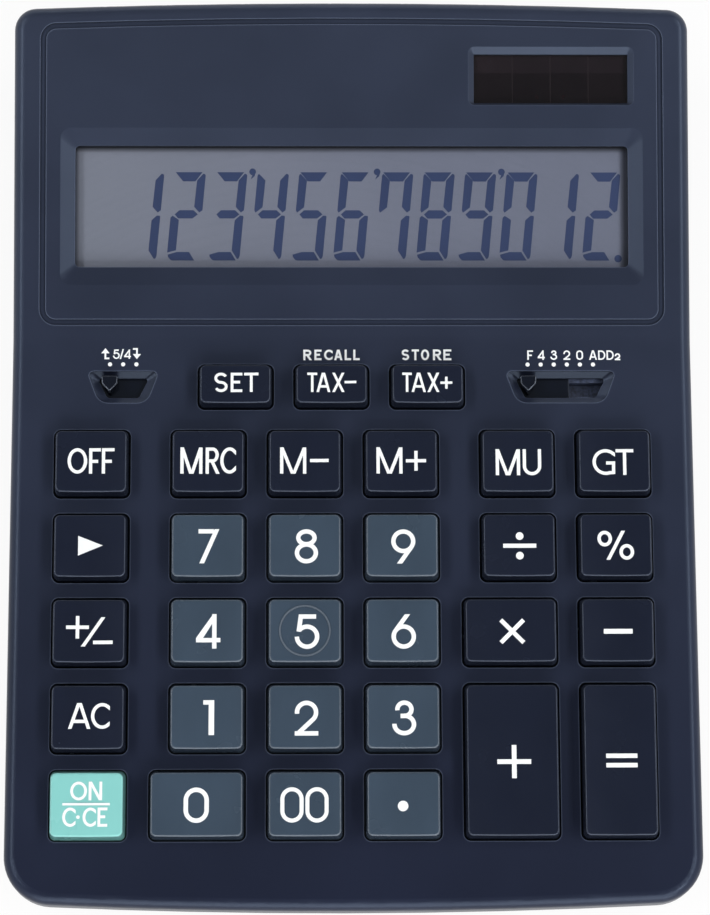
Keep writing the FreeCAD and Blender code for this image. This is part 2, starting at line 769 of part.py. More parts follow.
# Lower shell: floor, screw columns, the battery well and the seats of the feet.
lower_outer = case_body("lower_outer", size("base_inset"), size("base_z"), 0.0, "")
parting_cut(lower_outer, "lower_parting", False)
doc.recompute()
sole = min(lower_outer.Tip.Shape.Faces, key=lambda face: face.CenterOfMass.z)
sole_rim = edges_of(lower_outer.Tip.Shape, [sole])
block_base = lower_outer.Tip
sole_edge = lower_outer.newObject("PartDesign::Fillet", "sole_edge")
sole_edge.Base = (block_base, sole_rim)
bind(sole_edge, Radius="base_round")
floor_top = size("base_z") + size("base_wall")
lower_hollow = case_body("lower_hollow", size("base_inset") + size("base_wall"), floor_top, 0.0, "")
well_x = size("cap_x")
well_y = size("cap_y")
GROOVE_RADIUS = "cap_radius + lug_reach + lug_room"
lower_columns = [
    cylinder(f"case_column_{i}", "boss_radius + 0.4", "15 * shell_wall", at(x, y, 0))
    for i, (x, y) in enumerate(CASE_SCREWS)
]
well_place = at(well_x, well_y, 0)
WELL_RADIUS = GROOVE_RADIUS + " + well_wall"
lower_columns.append(cylinder("well_column", WELL_RADIUS, "well_roof + well_wall", well_place))
lower_void = cut("lower_void", lower_hollow, lower_columns)
lower_tools = [lower_void]
for i, (x, y) in enumerate(CASE_SCREWS):
    seat = parting_height(y) - size("screw_web")
    hole = cylinder(f"case_hole_{i}", "screw_radius + 4 * screw_gap", "15 * shell_wall", at(x, y, 0))
    lower_tools += [hole, cylinder(f"case_counterbore_{i}", "screw_head + 6 * screw_gap", seat, at(x, y, 0))]
FEET = [(side * size("foot_x"), end * size("foot_y")) for side in (-1, 1) for end in (-1, 1)]
for i, (x, y) in enumerate(FEET):
    lower_tools.append(cylinder(f"foot_seat_{i}", "foot_radius + foot_gap", "base_z + foot_seat", at(x, y, 0)))
lower_tools.append(cylinder("cap_seat", "cap_radius + cap_gap", "base_z + cap_thick + 2 * cap_gap", well_place))
lug_low = size("base_z") + size("cap_thick") - size("lug_thick")
groove_low = at(well_x, well_y, lug_low - size("lug_room") / 2)
lower_tools.append(cylinder("lug_groove", GROOVE_RADIUS, "lug_thick + lug_room", groove_low))
lower_tools.append(cylinder("button_seat", "button_radius + cap_gap", "well_roof", well_place))
LUG_ANGLE = 20
for i, turn in enumerate((45, 225)):
    notch = cylinder(f"lug_notch_{i}", GROOVE_RADIUS, "base_z + base_wall")
    notch.Angle = LUG_ANGLE + 8
    notch.Placement = Placement(Vector(well_x, well_y, 0), Rotation(Z_AXIS, turn - notch.Angle.Value / 2))
    lower_tools.append(notch)
leaf = size("leaf_thick")
over_well = size("well_roof") + 2 * size("well_wall")
niche_half = size("contact_half") + 0.8
niche_low = (well_x + size("button_radius") - leaf, well_y - niche_half, floor_top)
niche_high = (well_x + size("button_radius") + 2.5 * leaf, well_y + niche_half, over_well)
lower_tools.append(block("plus_niche", niche_low, niche_high))
slit_half = size("minus_half") + 0.4
slit_y = well_y - size("minus_y")
slit_low = (well_x - slit_half, slit_y - leaf, size("well_roof") - 4 * leaf)
lower_tools.append(block("minus_slit", slit_low, (well_x + slit_half, slit_y + leaf, over_well)))
lower_housing = cut("lower_housing", lower_outer, lower_tools)

# Battery cap: a disc with two lugs and a coin slot, which turns to let its lugs out.
cap_parts = [cylinder("cap_disc", "cap_radius", "cap_thick", at(well_x, well_y, size("base_z")))]
for i, turn in enumerate((0, 180)):
    lug = cylinder(f"cap_lug_{i}", "cap_radius + lug_reach", "lug_thick")
    lug.Angle = LUG_ANGLE
    lug.Placement = Placement(Vector(well_x, well_y, lug_low), Rotation(Z_AXIS, turn - LUG_ANGLE / 2))
    cap_parts.append(lug)
cap_disc = fused("cap_whole", cap_parts)
coin = size("coin_half")
coin_top = size("base_z") + size("coin_deep")
coin_slot = block("coin_slot", (well_x - coin, well_y - 0.9, 0.0), (well_x + coin, well_y + 0.9, coin_top))
battery_cap = cut("battery_cap", cap_disc, [coin_slot])

# Button cell and its two contacts.
button_base = size("base_z") + size("cap_thick")
button_cell = cylinder("button_cell", "button_radius", "button_thick", at(well_x, well_y, button_base))
button_top = button_base + size("button_thick")


def strip(name, points, wide, place_at, thick):
    """A bent metal strip: the band along a line of points, pressed out sideways."""
    line = Part.makePolygon([Vector(*point, 0) for point in points])
    face = Part.Face(line.makeOffset2D(thick / 2))
    face.translate(Vector(0, 0, -wide / 2))
    item = doc.addObject("Part::Feature", name)
    item.Shape = face.extrude(Vector(0, 0, wide))
    item.Placement = place_at
    return item


STAND = Rotation(Vector(1, 1, 1), 120)
roof = size("well_roof")
minus_y = size("minus_y")
battery_contact_minus = strip(
    "battery_contact_minus",
    [
        (-minus_y, over_well),
        (-minus_y, roof - leaf / 2),
        (2.0, roof - leaf / 2),
        (-3.0, button_top + leaf / 2),
        (-5.0, button_top + leaf / 2 + 0.4),
    ],
    2 * size("minus_half"),
    Placement(Vector(well_x, well_y, 0), STAND),
    leaf,
)
plus_x = size("button_radius") + leaf / 2
battery_contact_plus = block(
    "battery_contact_plus",
    (well_x + plus_x - leaf / 2, well_y - size("contact_half"), button_base + leaf),
    (well_x + plus_x + leaf / 2, well_y + size("contact_half"), over_well),
)


def routed(points, bend):
    """A line through points with tangent arcs at its turns."""
    edges = []
    start = points[0]
    for i in range(1, len(points) - 1):
        before = (points[i - 1] - points[i]).normalize()
        after = (points[i + 1] - points[i]).normalize()
        half = before.getAngle(after) / 2
        reach = bend / math.tan(half)
        enter = points[i] + before * reach
        leave = points[i] + after * reach
        middle = points[i] + (before + after).normalize() * (bend / math.sin(half) - bend)
        edges.append(Part.LineSegment(start, enter).toShape())
        edges.append(Part.Arc(enter, middle, leave).toShape())
        start = leave
    edges.append(Part.LineSegment(start, points[-1]).toShape())
    return Part.Wire(edges)


def swept(path, section):
    pipe = Part.BRepOffsetAPI.MakePipeShell(path)
    pipe.add(section)
    pipe.build()
    pipe.makeSolid()
    return pipe.shape()


def wires(name, routes, bend):
    """Insulated wires along their routes, as separate solids of one piece."""
    tubes = []
    for route in routes:
        path = routed(route, bend)
        start = Part.Circle(route[0], route[1] - route[0], size("wire_radius"))
        tubes.append(swept(path, Part.Wire(start.toShape())))
    item = doc.addObject("Part::Feature", name)
    item.Shape = Part.makeCompound(tubes)
    return item


def spot(slope, x, v, lift):
    return slope.multVec(Vector(x, v, lift))


board_under = -size("board_top") - size("board_thick")
landing_v = size("board_rear") - 2.0
tail_z = roof + 2.0


def landing(x, v=landing_v):
    return spot(KEYBOARD, x, v, board_under)


def below_landing(x):
    """The point at the wires' level from which a wire comes up square to the board."""
    end = landing(x)
    normal = KEYBOARD.Rotation.multVec(Z_AXIS)
    return end - normal * ((end.z - tail_z) / normal.z)


minus_start = Vector(well_x, well_y - minus_y - leaf / 2, tail_z)
plus_start = Vector(well_x + plus_x, well_y - size("contact_half"), tail_z)
battery_routes = []
for start in (minus_start, plus_start):
    battery_routes.append([start, below_landing(start.x), landing(start.x)])
battery_wires = wires("battery_wires", battery_routes, 0.8)
solar_wire_v = size("solar_v") - 4.2
cell_under = -size("shell_wall") - 1.0
solar_routes = []
for x in (size("solar_x") - 3.0, size("solar_x") + 3.0):
    top = spot(DISPLAY, x, solar_wire_v, cell_under)
    turn = spot(DISPLAY, x, solar_wire_v, cell_under - 10.0)
    solar_routes.append([top, turn, Vector(x, size("wire_turn"), tail_z), below_landing(x), landing(x)])
solar_wires = wires("solar_wires", solar_routes, size("wire_bend") / 2)

# Board, chip, capacitor and the rubber sheet with its domes.
board_low = (-size("board_half"), size("board_front"), board_under)
board_high = (size("board_half"), size("board_rear"), -size("board_top"))
board_block = block("board_block", board_low, board_high, KEYBOARD)
board_holes = [
    cylinder(f"board_hole_{i}", SMALL_HOLE, "2 * board_top", at(x, v, 2 * board_under, KEYBOARD))
    for i, (x, v) in enumerate(BOARD_SCREWS)
]
circuit_board = cut("circuit_board", board_block, board_holes)
chip = doc.addObject("Part::Cone", "controller_chip")
bind(chip, Radius1="chip_radius - 2.5", Radius2="chip_radius", Height="chip_thick")
chip.Placement = at(size("chip_x"), size("chip_v"), board_under - size("chip_thick"), KEYBOARD)
can_centre = Vector(size("can_x"), size("can_v"), board_under - size("can_radius"))
can_at = Placement(can_centre, Rotation(Vector(0, 1, 0), 90))
board_capacitor = cylinder("board_capacitor", "can_radius", "can_long", KEYBOARD.multiply(can_at))
sheet_low = -size("board_top")
sheet_high = sheet_low + size("sheet_thick")
sheet_half = size("sheet_half")
sheet_rear = size("sheet_rear")
main_low = (-sheet_half, size("sheet_front"), sheet_low)
pad_main = block("sheet_main", main_low, (sheet_half, sheet_rear, sheet_high), KEYBOARD)
tab_low = (size("tab_left"), sheet_rear - 0.4, sheet_low)
pad_tab = block("sheet_tab", tab_low, (size("tab_right"), size("tab_rear"), sheet_high), KEYBOARD)
domes = []
dents = []
for label, x, v, *_ in KEYS:
    dome = doc.addObject("Part::Cone", label + "_dome")
    dome_high = "board_top - sheet_thick - dome_top"
    bind(dome, Radius1="dome_foot_radius", Radius2="dome_top_radius", Height=dome_high)
    place(dome, "key_tilt", x, v, "0 - board_top + sheet_thick")
    domes.append(dome)
    dent = doc.addObject("Part::Cone", label + "_dent")
    dent_radii = {"Radius1": "dome_foot_radius - dome_wall", "Radius2": "dome_top_radius - dome_wall"}
    bind(dent, Height="board_top - dome_top - dome_wall", **dent_radii)
    place(dent, "key_tilt", x, v, "0 - board_top")
    dents.append(dent)
boss_rooms = [
    cylinder(f"sheet_hole_{i}", "board_boss_radius + 0.5", "board_top", at(x, v, board_under, KEYBOARD))
    for i, (x, v) in enumerate(BOARD_SCREWS[:2])
]
key_membrane = cut("key_membrane", fused("sheet_whole", [pad_main, pad_tab] + domes), dents + boss_rooms)
keycaps = [keycap(*row) for row in KEYS]
doc.recompute()

# Display: the window glued under the shell, the panel behind it, and the frame that holds both.
opening_v = size("opening_v")
lap = size("window_lap")
window_half = size("opening_wide") / 2 + lap
window_deep = size("opening_deep") / 2 + lap
window_top = -size("shell_wall")
window_low = window_top - size("window_thick")
panel_low = window_low - size("panel_thick")


def layer(name, half_wide, half_deep, low, high, x=0.0, v=opening_v):
    return block(name, (x - half_wide, v - half_deep, low), (x + half_wide, v + half_deep, high), DISPLAY)


display_window = layer("display_window", window_half, window_deep, window_low, window_top)
lcd_panel = layer("lcd_panel", window_half - 0.2, window_deep - 0.2, panel_low, window_low)
wall = size("holder_wall")
holder_low = panel_low - 1.2
holder_parts = [layer("holder_block", window_half + wall, window_deep + wall, holder_low, window_top)]
ear_low = -size("ear_lift") - size("ear_thick")
ear_reach = size("ear_x") + 2.7
for i, (x, v) in enumerate(EARS):
    inner = math.copysign(window_half + wall - 0.5, x)
    edge = math.copysign(ear_reach, x)
    low = (min(inner, edge), v - 3.0, ear_low)
    high = (max(inner, edge), v + 3.0, -size("ear_lift"))
    holder_parts.append(block(f"holder_ear_{i}", low, high, DISPLAY))
holder_cuts = [layer("holder_pocket", window_half + 0.15, window_deep + 0.15, panel_low, window_top + 1.0)]
RIBBON_X = 5.0
RIBBON_HALF = 22.0
ribbon_v = opening_v - window_deep + 2.4
slit_levels = (holder_low - 1.0, panel_low + 0.5)
holder_cuts.append(layer("ribbon_slit", RIBBON_HALF + 1.0, 1.4, *slit_levels, RIBBON_X, ribbon_v))
for i, (x, v) in enumerate(EARS):
    below_ear = at(x, v, ear_low - size("ear_thick"), DISPLAY)
    holder_cuts.append(cylinder(f"ear_hole_{i}", SMALL_HOLE, "3 * ear_thick", below_ear))
lcd_holder = cut("lcd_holder", fused("holder_whole", holder_parts), holder_cuts)
ribbon_top = spot(DISPLAY, RIBBON_X, ribbon_v, panel_low)
ribbon_clear = spot(DISPLAY, RIBBON_X, ribbon_v, panel_low - 5.0)
ribbon_far = landing(RIBBON_X, size("board_rear") + 1.0)
ribbon_end = landing(RIBBON_X, size("board_rear") - 5.0)
RIBBON_HALF_THICK = 0.12
below = KEYBOARD.Rotation.multVec(Z_AXIS) * RIBBON_HALF_THICK
ribbon_path = routed([ribbon_top, ribbon_clear, ribbon_far - below, ribbon_end - below], 1.5)
along = (ribbon_clear - ribbon_top).normalize()
side = X_AXIS.cross(along) * RIBBON_HALF_THICK
reach = X_AXIS * RIBBON_HALF
corners = [ribbon_top + offset for offset in (-reach - side, reach - side, reach + side, side - reach)]
lcd_ribbon = doc.addObject("Part::Feature", "lcd_ribbon")
lcd_ribbon.Shape = swept(ribbon_path, Part.makePolygon(corners + corners[:1]))

# Solar cell under its window.
solar_x = size("solar_x")
cell_half = size("cell_wide") / 2
cell_half_deep = size("cell_deep") / 2
CELL_LAP = 1.6
solar_window = layer(
    "solar_window", cell_half - 0.08, cell_half_deep - 0.08, window_top, -size("solar_drop"), solar_x, solar_v
)
solar_cell = layer(
    "solar_cell", cell_half + CELL_LAP, cell_half_deep + CELL_LAP, cell_under, window_top, solar_x, solar_v
)

# Slide switches: base on the board, knob on its slider, sprung contact under the slider.
slider_top = -size("shell_wall") - 0.1
slider_low = slider_top - size("slider_thick")
SLIDER_DEEP = 3.2
BASE_DEEP = 4.2


def slide_base(name, centre, steps):
    half = steps * size("dot_pitch") / 2
    long = half + size("slider_half") + 0.6
    v = size("switch_v")
    base_top = slider_low - 0.05
    block_low = (centre - long, v - BASE_DEEP, sheet_low)
    parts = [block(name + "_block", block_low, (centre + long, v + BASE_DEEP, base_top), KEYBOARD)]
    for i, rail in enumerate((-1, 1)):
        near = v + rail * (SLIDER_DEEP + 0.15)
        far = v + rail * BASE_DEEP
        low = (centre - long, min(near, far), base_top - 0.5)
        high = (centre + long, max(near, far), slider_top)
        parts.append(block(f"{name}_rail_{i}", low, high, KEYBOARD))
    channel = block(
        name + "_channel",
        (centre - half - 3.2, v - 1.6, sheet_low + 0.8),
        (centre + half + 3.2, v + 1.6, base_top + 1.0),
        KEYBOARD,
    )
    return cut(name, fused(name + "_whole", parts), [channel])


def shield(tip, shoulder_half, shoulder, rear_half, rear):
    return [
        Vector(0, tip, 0),
        Vector(shoulder_half, shoulder, 0),
        Vector(rear_half, rear, 0),
        Vector(-rear_half, rear, 0),
        Vector(-shoulder_half, shoulder, 0),
    ]


def slide_knob(name, centre, steps):
    """A shield-shaped knob, its point to the front, on a thin slider."""
    home = centre - steps * size("dot_pitch") / 2
    body = doc.addObject("PartDesign::Body", name)
    v = size("switch_v")
    plate = new_sketch(body, name + "_plate", "XY_Plane", at(0, v, slider_low))
    draw(plate, rounded(box_corners(2 * size("slider_half"), 2 * SLIDER_DEEP), 0.6))
    pad(body, name + "_slider", plate, "slider_thick")
    foot = new_sketch(body, name + "_foot", "XY_Plane", at(0, v, slider_top - 0.1))
    draw(foot, rounded(shield(-2.0, 1.3, -0.1, 1.9, 1.95), [0.5, 0.8, 0.4, 0.4, 0.8]))
    crown = new_sketch(body, name + "_crown", "XY_Plane", at(0, v, size("knob_rise")))
    draw(crown, rounded(shield(-1.2, 1.75, 0.6, 1.85, 2.4), [0.5, 1.0, 0.4, 0.4, 1.0]))
    feature(body, "AdditiveLoft", name + "_grip", foot, Sections=[crown])
    doc.recompute()
    shape = body.Tip.Shape
    top = max(shape.Faces, key=lambda face: face.CenterOfMass.z)
    grip = body.Tip
    edge = body.newObject("PartDesign::Fillet", name + "_edge")
    edge.Base = (grip, edges_of(shape, [top]))
    edge.Radius = 0.25
    body.Placement = at(home, 0, 0, KEYBOARD)
    return body


def slide_wiper(name, centre, steps):
    home = centre - steps * size("dot_pitch") / 2
    high = slider_low - 0.1
    low = sheet_low + 0.8 + 0.12
    points = [(-2.2, low + 0.4), (-1.6, low), (-0.8, high), (0.8, high), (1.6, low), (2.2, low + 0.4)]
    upright = Placement(Vector(home, size("switch_v"), 0), Rotation(X_AXIS, 90))
    return strip(name, points, 1.8, KEYBOARD.multiply(upright), 0.2)


rounding_base = slide_base("rounding_base", size("round_x"), 2)
decimal_base = slide_base("decimal_base", size("decimal_x"), 5)
rounding_knob = slide_knob("rounding_knob", size("round_x"), 2)
decimal_knob = slide_knob("decimal_knob", size("decimal_x"), 5)
rounding_wiper = slide_wiper("rounding_wiper", size("round_x"), 2)
decimal_wiper = slide_wiper("decimal_wiper", size("decimal_x"), 5)


def screws(name, radius, head_radius, head_deep, long, places):
    """Cross-head screws, one solid at each place; each stands head down, with its shank upwards."""
    shank = Part.makeCylinder(radius, long)
    head = Part.makeCone(head_radius, head_radius * 0.9, head_deep, Vector(0, 0, 0), Vector(0, 0, -1))
    screw = shank.fuse(head).removeSplitter()
    arm = head_radius * 1.1
    for turn in (0, 90):
        slot = Part.makeBox(arm, 0.4 * radius, 0.6 * head_deep, Vector(-arm / 2, -0.2 * radius, -head_deep))
        slot.rotate(Vector(), Z_AXIS, turn)
        screw = screw.cut(slot)
    copies = []
    for there in places:
        copy = screw.copy()
        copy.Placement = there
        copies.append(copy)
    item = doc.addObject("Part::Feature", name)
    item.Shape = Part.makeCompound(copies)
    return item


case_screws = screws(
    "case_screws",
    size("screw_radius"),
    size("screw_head"),
    size("screw_head_deep"),
    size("screw_web") + size("screw_grip"),
    [at(x, y, parting_height(y) - size("screw_web")) for x, y in CASE_SCREWS],
)
small = (size("small_screw"), size("small_head"), size("small_head_deep"))
board_screws = screws(
    "board_screws",
    *small,
    size("board_thick") + size("screw_grip") - 0.4,
    [at(x, v, board_under, KEYBOARD) for x, v in BOARD_SCREWS],
)
holder_screws = screws(
    "holder_screws",
    *small,
    size("ear_thick") + size("screw_grip") - 1.2,
    [at(x, v, ear_low, DISPLAY) for x, v in EARS],
)
feet = []
for x, y in FEET:
    foot = Part.makeCylinder(size("foot_radius"), size("base_z") + size("foot_seat"), Vector(x, y, 0))
    feet.append(foot.makeFillet(0.5, [edge for edge in foot.Edges if edge.BoundBox.ZMax < 0.01]))
rubber_feet = doc.addObject("Part::Feature", "rubber_feet")
rubber_feet.Shape = Part.makeCompound(feet)
doc.recompute()

NODES = [
    upper_housing,
    lower_housing,
    battery_cap,
    button_cell,
    battery_contact_minus,
    battery_contact_plus,
    battery_wires,
    solar_wires,
    circuit_board,
    chip,
    board_capacitor,
    key_membrane,
    display_window,
    lcd_panel,
    lcd_holder,
    lcd_ribbon,
    solar_window,
    solar_cell,
    rounding_base,
    decimal_base,
    rounding_knob,
    decimal_knob,
    rounding_wiper,
    decimal_wiper,
    case_screws,
    board_screws,
    holder_screws,
    rubber_feet,
] + keycaps

for item in doc.Objects:
    if "Invalid" in item.State or "Error" in item.State:
        raise RuntimeError(f"{item.Label} failed: {item.State}")
for node in NODES:
    if node.Shape.isNull() or not node.Shape.isValid() or not node.Shape.Solids:
        raise RuntimeError(f"{node.Label} has no valid solid")

os.makedirs("parts", exist_ok=True)
for node in NODES:
    node.Shape.exportStep(f"parts/{node.Label}.step")
print(f"{len(NODES)} parts written")
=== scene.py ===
import json
import math

import bpy
from mathutils import Euler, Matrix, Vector


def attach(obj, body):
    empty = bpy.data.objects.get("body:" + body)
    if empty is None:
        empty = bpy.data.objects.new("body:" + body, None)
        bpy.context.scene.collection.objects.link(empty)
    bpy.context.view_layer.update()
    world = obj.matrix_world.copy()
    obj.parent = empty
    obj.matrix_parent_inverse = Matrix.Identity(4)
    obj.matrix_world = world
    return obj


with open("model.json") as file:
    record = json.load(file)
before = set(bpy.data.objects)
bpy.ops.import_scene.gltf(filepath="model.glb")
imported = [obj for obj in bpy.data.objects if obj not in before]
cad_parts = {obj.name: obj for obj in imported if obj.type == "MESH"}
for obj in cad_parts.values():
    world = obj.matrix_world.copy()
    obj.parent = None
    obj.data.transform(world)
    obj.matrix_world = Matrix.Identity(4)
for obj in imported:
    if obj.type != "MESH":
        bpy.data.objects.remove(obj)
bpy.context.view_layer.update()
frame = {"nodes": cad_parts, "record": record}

MM = 0.001

# Camera of the photograph, in the frame of the part.
EYE = Vector((-10.03, -168.66, 645.92)) * MM
AIM = (0.2602, -0.0162, -0.0008)
FOCAL_PIXELS = 2900.0
TALL_PIXELS = 915.0
SENSOR = 36.0
NEAREST, FARTHEST = 0.02, 20.0
camera = bpy.data.objects.new("camera", bpy.data.cameras.new("camera"))
camera.data.sensor_width = SENSOR
camera.data.lens = FOCAL_PIXELS * SENSOR / TALL_PIXELS
camera.data.clip_start = NEAREST
camera.data.clip_end = FARTHEST
camera.location = EYE
camera.rotation_mode = "ZYX"
camera.rotation_euler = Euler(AIM, "ZYX")
bpy.context.scene.collection.objects.link(camera)
bpy.context.scene.camera = camera

# The two slopes of the top: the keyboard's and the display's. They meet at the crease.
# Places on them are in mm.
CREASE = Vector((0.0, 25.3, 20.5))
KEY_TILT = math.radians(4.0)
DISPLAY_TILT = math.radians(11.5)


def on_slope(tilt, x, v, lift):
    """A point of a slope in metres, from x across, v up the slope from the crease and lift above its face."""
    along = Vector((0.0, math.cos(tilt), math.sin(tilt)))
    normal = Vector((0.0, -math.sin(tilt), math.cos(tilt)))
    return (CREASE + Vector((x, 0.0, 0.0)) + along * v + normal * lift) * MM


def srgb(red, green, blue):
    """A colour written as it shows, turned into the linear values that the shaders take."""
    values = []
    for value in (red, green, blue):
        value /= 255.0
        values.append(value / 12.92 if value <= 0.04045 else ((value + 0.055) / 1.055) ** 2.4)
    return (*values, 1.0)


# Materials.
SIDE_SAMPLES = 6
WHITE = (1.0, 1.0, 1.0, 1.0)
NAVY_SHINE = (0.6, 0.75, 1.0, 1.0)
DARK_SHINE = (0.75, 0.85, 1.0, 1.0)
PLASTIC_IOR = 1.5
WINDOW_IOR = 1.45
GRAIN_SCALE = 4200.0
GRAIN_DEPTH = 0.02 * MM
FINE_DEPTH = 0.01 * MM
EASED_EDGE = 0.15 * MM
# How far in from an edge its painted highlight reaches.
HIGHLIGHT_EDGE_REACH = 0.3 * MM


class Nodes:
    """Short calls for building one material's node tree."""

    def __init__(self, name):
        self.material = bpy.data.materials.new(name)
        self.material.use_nodes = True
        self.tree = self.material.node_tree
        self.tree.nodes.clear()
        self.output = self.add("ShaderNodeOutputMaterial")
        places = self.add("ShaderNodeTexCoord")
        self.coords = places.outputs["Object"]
        self.facing = places.outputs["Normal"]

    def add(self, kind, **settings):
        node = self.tree.nodes.new(kind)
        for key, value in settings.items():
            setattr(node, key, value)
        return node

    def link(self, source, target):
        self.tree.links.new(source, target)

    def noise(self, scale, detail=2.0, roughness=0.5, stretch=None):
        node = self.add("ShaderNodeTexNoise")
        node.inputs["Scale"].default_value = scale
        node.inputs["Detail"].default_value = detail
        node.inputs["Roughness"].default_value = roughness
        source = self.coords
        if stretch:
            mapping = self.add("ShaderNodeMapping")
            mapping.inputs["Scale"].default_value = stretch
            self.link(source, mapping.inputs["Vector"])
            source = mapping.outputs["Vector"]
        self.link(source, node.inputs["Vector"])
        return node.outputs["Fac"]

    def remap(self, source, low, high, start=0.3, end=0.7):
        node = self.add("ShaderNodeMapRange")
        node.inputs["From Min"].default_value = start
        node.inputs["From Max"].default_value = end
        node.inputs["To Min"].default_value = low
        node.inputs["To Max"].default_value = high
        self.link(source, node.inputs["Value"])
        return node.outputs["Result"]

    def blend(self, source, first, second):
        """A mix of two tones; each is a colour or the socket of one."""
        node = self.add("ShaderNodeMix", data_type="RGBA")
        self.link(source, node.inputs["Factor"])
        for place, tone in (("A", first), ("B", second)):
            if isinstance(tone, tuple):
                node.inputs[place].default_value = tone
            else:
                self.link(tone, node.inputs[place])
        return node.outputs["Result"]

    def soft_edges(self, radius):
        """The normal of a surface whose edges are eased by a small radius."""
        node = self.add("ShaderNodeBevel", samples=SIDE_SAMPLES)
        node.inputs["Radius"].default_value = radius
        return node.outputs["Normal"]

    def along(self, axis, start, end, source=None):
        """How far the point, or another vector, lies from one place to another along an axis."""
        node = self.add("ShaderNodeSeparateXYZ")
        self.link(source or self.coords, node.inputs["Vector"])
        return self.remap(node.outputs[axis], 0.0, 1.0, start, end)

    def nearness(self, distance, inside=False):
        """How shut in a point is, from 0 to 1; inside, from 0 on a flat to 1 on a sharp edge."""
        node = self.add(
            "ShaderNodeAmbientOcclusion", samples=SIDE_SAMPLES, inside=inside, only_local=inside
        )
        node.inputs["Distance"].default_value = distance
        return self.remap(node.outputs["AO"], 1.0, 0.0, 0.0, 1.0)

    def times(self, first, second):
        node = self.add("ShaderNodeMath", operation="MULTIPLY")
        self.link(first, node.inputs[0])
        self.link(second, node.inputs[1])
        return node.outputs["Value"]

    def scaled(self, tone, factor):
        node = self.add("ShaderNodeVectorMath", operation="SCALE")
        self.link(tone, node.inputs[0])
        self.link(factor, node.inputs["Scale"])
        return node.outputs["Vector"]

    def bump(self, height, strength, distance, base=None):
        node = self.add("ShaderNodeBump")
        node.inputs["Strength"].default_value = strength
        node.inputs["Distance"].default_value = distance
        self.link(height, node.inputs["Height"])
        if base:
            self.link(base, node.inputs["Normal"])
        return node.outputs["Normal"]

    def surface(self, **values):
        node = self.add("ShaderNodeBsdfPrincipled")
        for key, value in values.items():
            node.inputs[key.replace("_", " ")].default_value = value
        self.link(node.outputs["BSDF"], self.output.inputs["Surface"])
        return node


def shade(color, factor):
    return tuple(channel * factor for channel in color[:3]) + (1.0,)


def moulded(
    name, color, rough, grain=GRAIN_SCALE, relief=0.25, vary=0.12, specular=0.5, shine=WHITE, clouds=35.0
):
    """Moulded plastic: spark-eroded grain on its flats, faint clouds of tone, uneven gloss."""
    nodes = Nodes(name)
    shader = nodes.surface(IOR=PLASTIC_IOR, Specular_IOR_Level=specular, Specular_Tint=shine)
    cloudy = nodes.remap(nodes.noise(clouds, 3.0), 0.0, 1.0)
    tone = nodes.blend(cloudy, shade(color, 1.0 - vary), shade(color, 1.0 + vary))
    nodes.link(tone, shader.inputs["Base Color"])
    fine = nodes.noise(grain, 2.0, 0.6)
    nodes.link(nodes.remap(fine, rough - 0.05, rough + 0.07), shader.inputs["Roughness"])
    normal = nodes.bump(fine, relief, GRAIN_DEPTH, nodes.soft_edges(EASED_EDGE))
    nodes.link(normal, shader.inputs["Normal"])
    return nodes.material


# What the case's tone depends on, in metres: its front and rear ends, between which painted shade darkens it
# towards the front; how near other faces have to be for painted shade in a corner or on a wall; and the band
# of the switch recesses with the strip between the two, outside of which the recess slopes are painted in
# shade.
CASE_ENDS = (-0.1, 0.1)
CORNER_REACH = 0.8 * MM
WALL_REACH = 4.0 * MM
SWITCH_BAND = (("Y", 0.0095, 0.01), ("Y", 0.02, 0.0195))
SWITCH_STRIP = (("X", -0.035, -0.0357), ("X", 0.035, 0.0357))


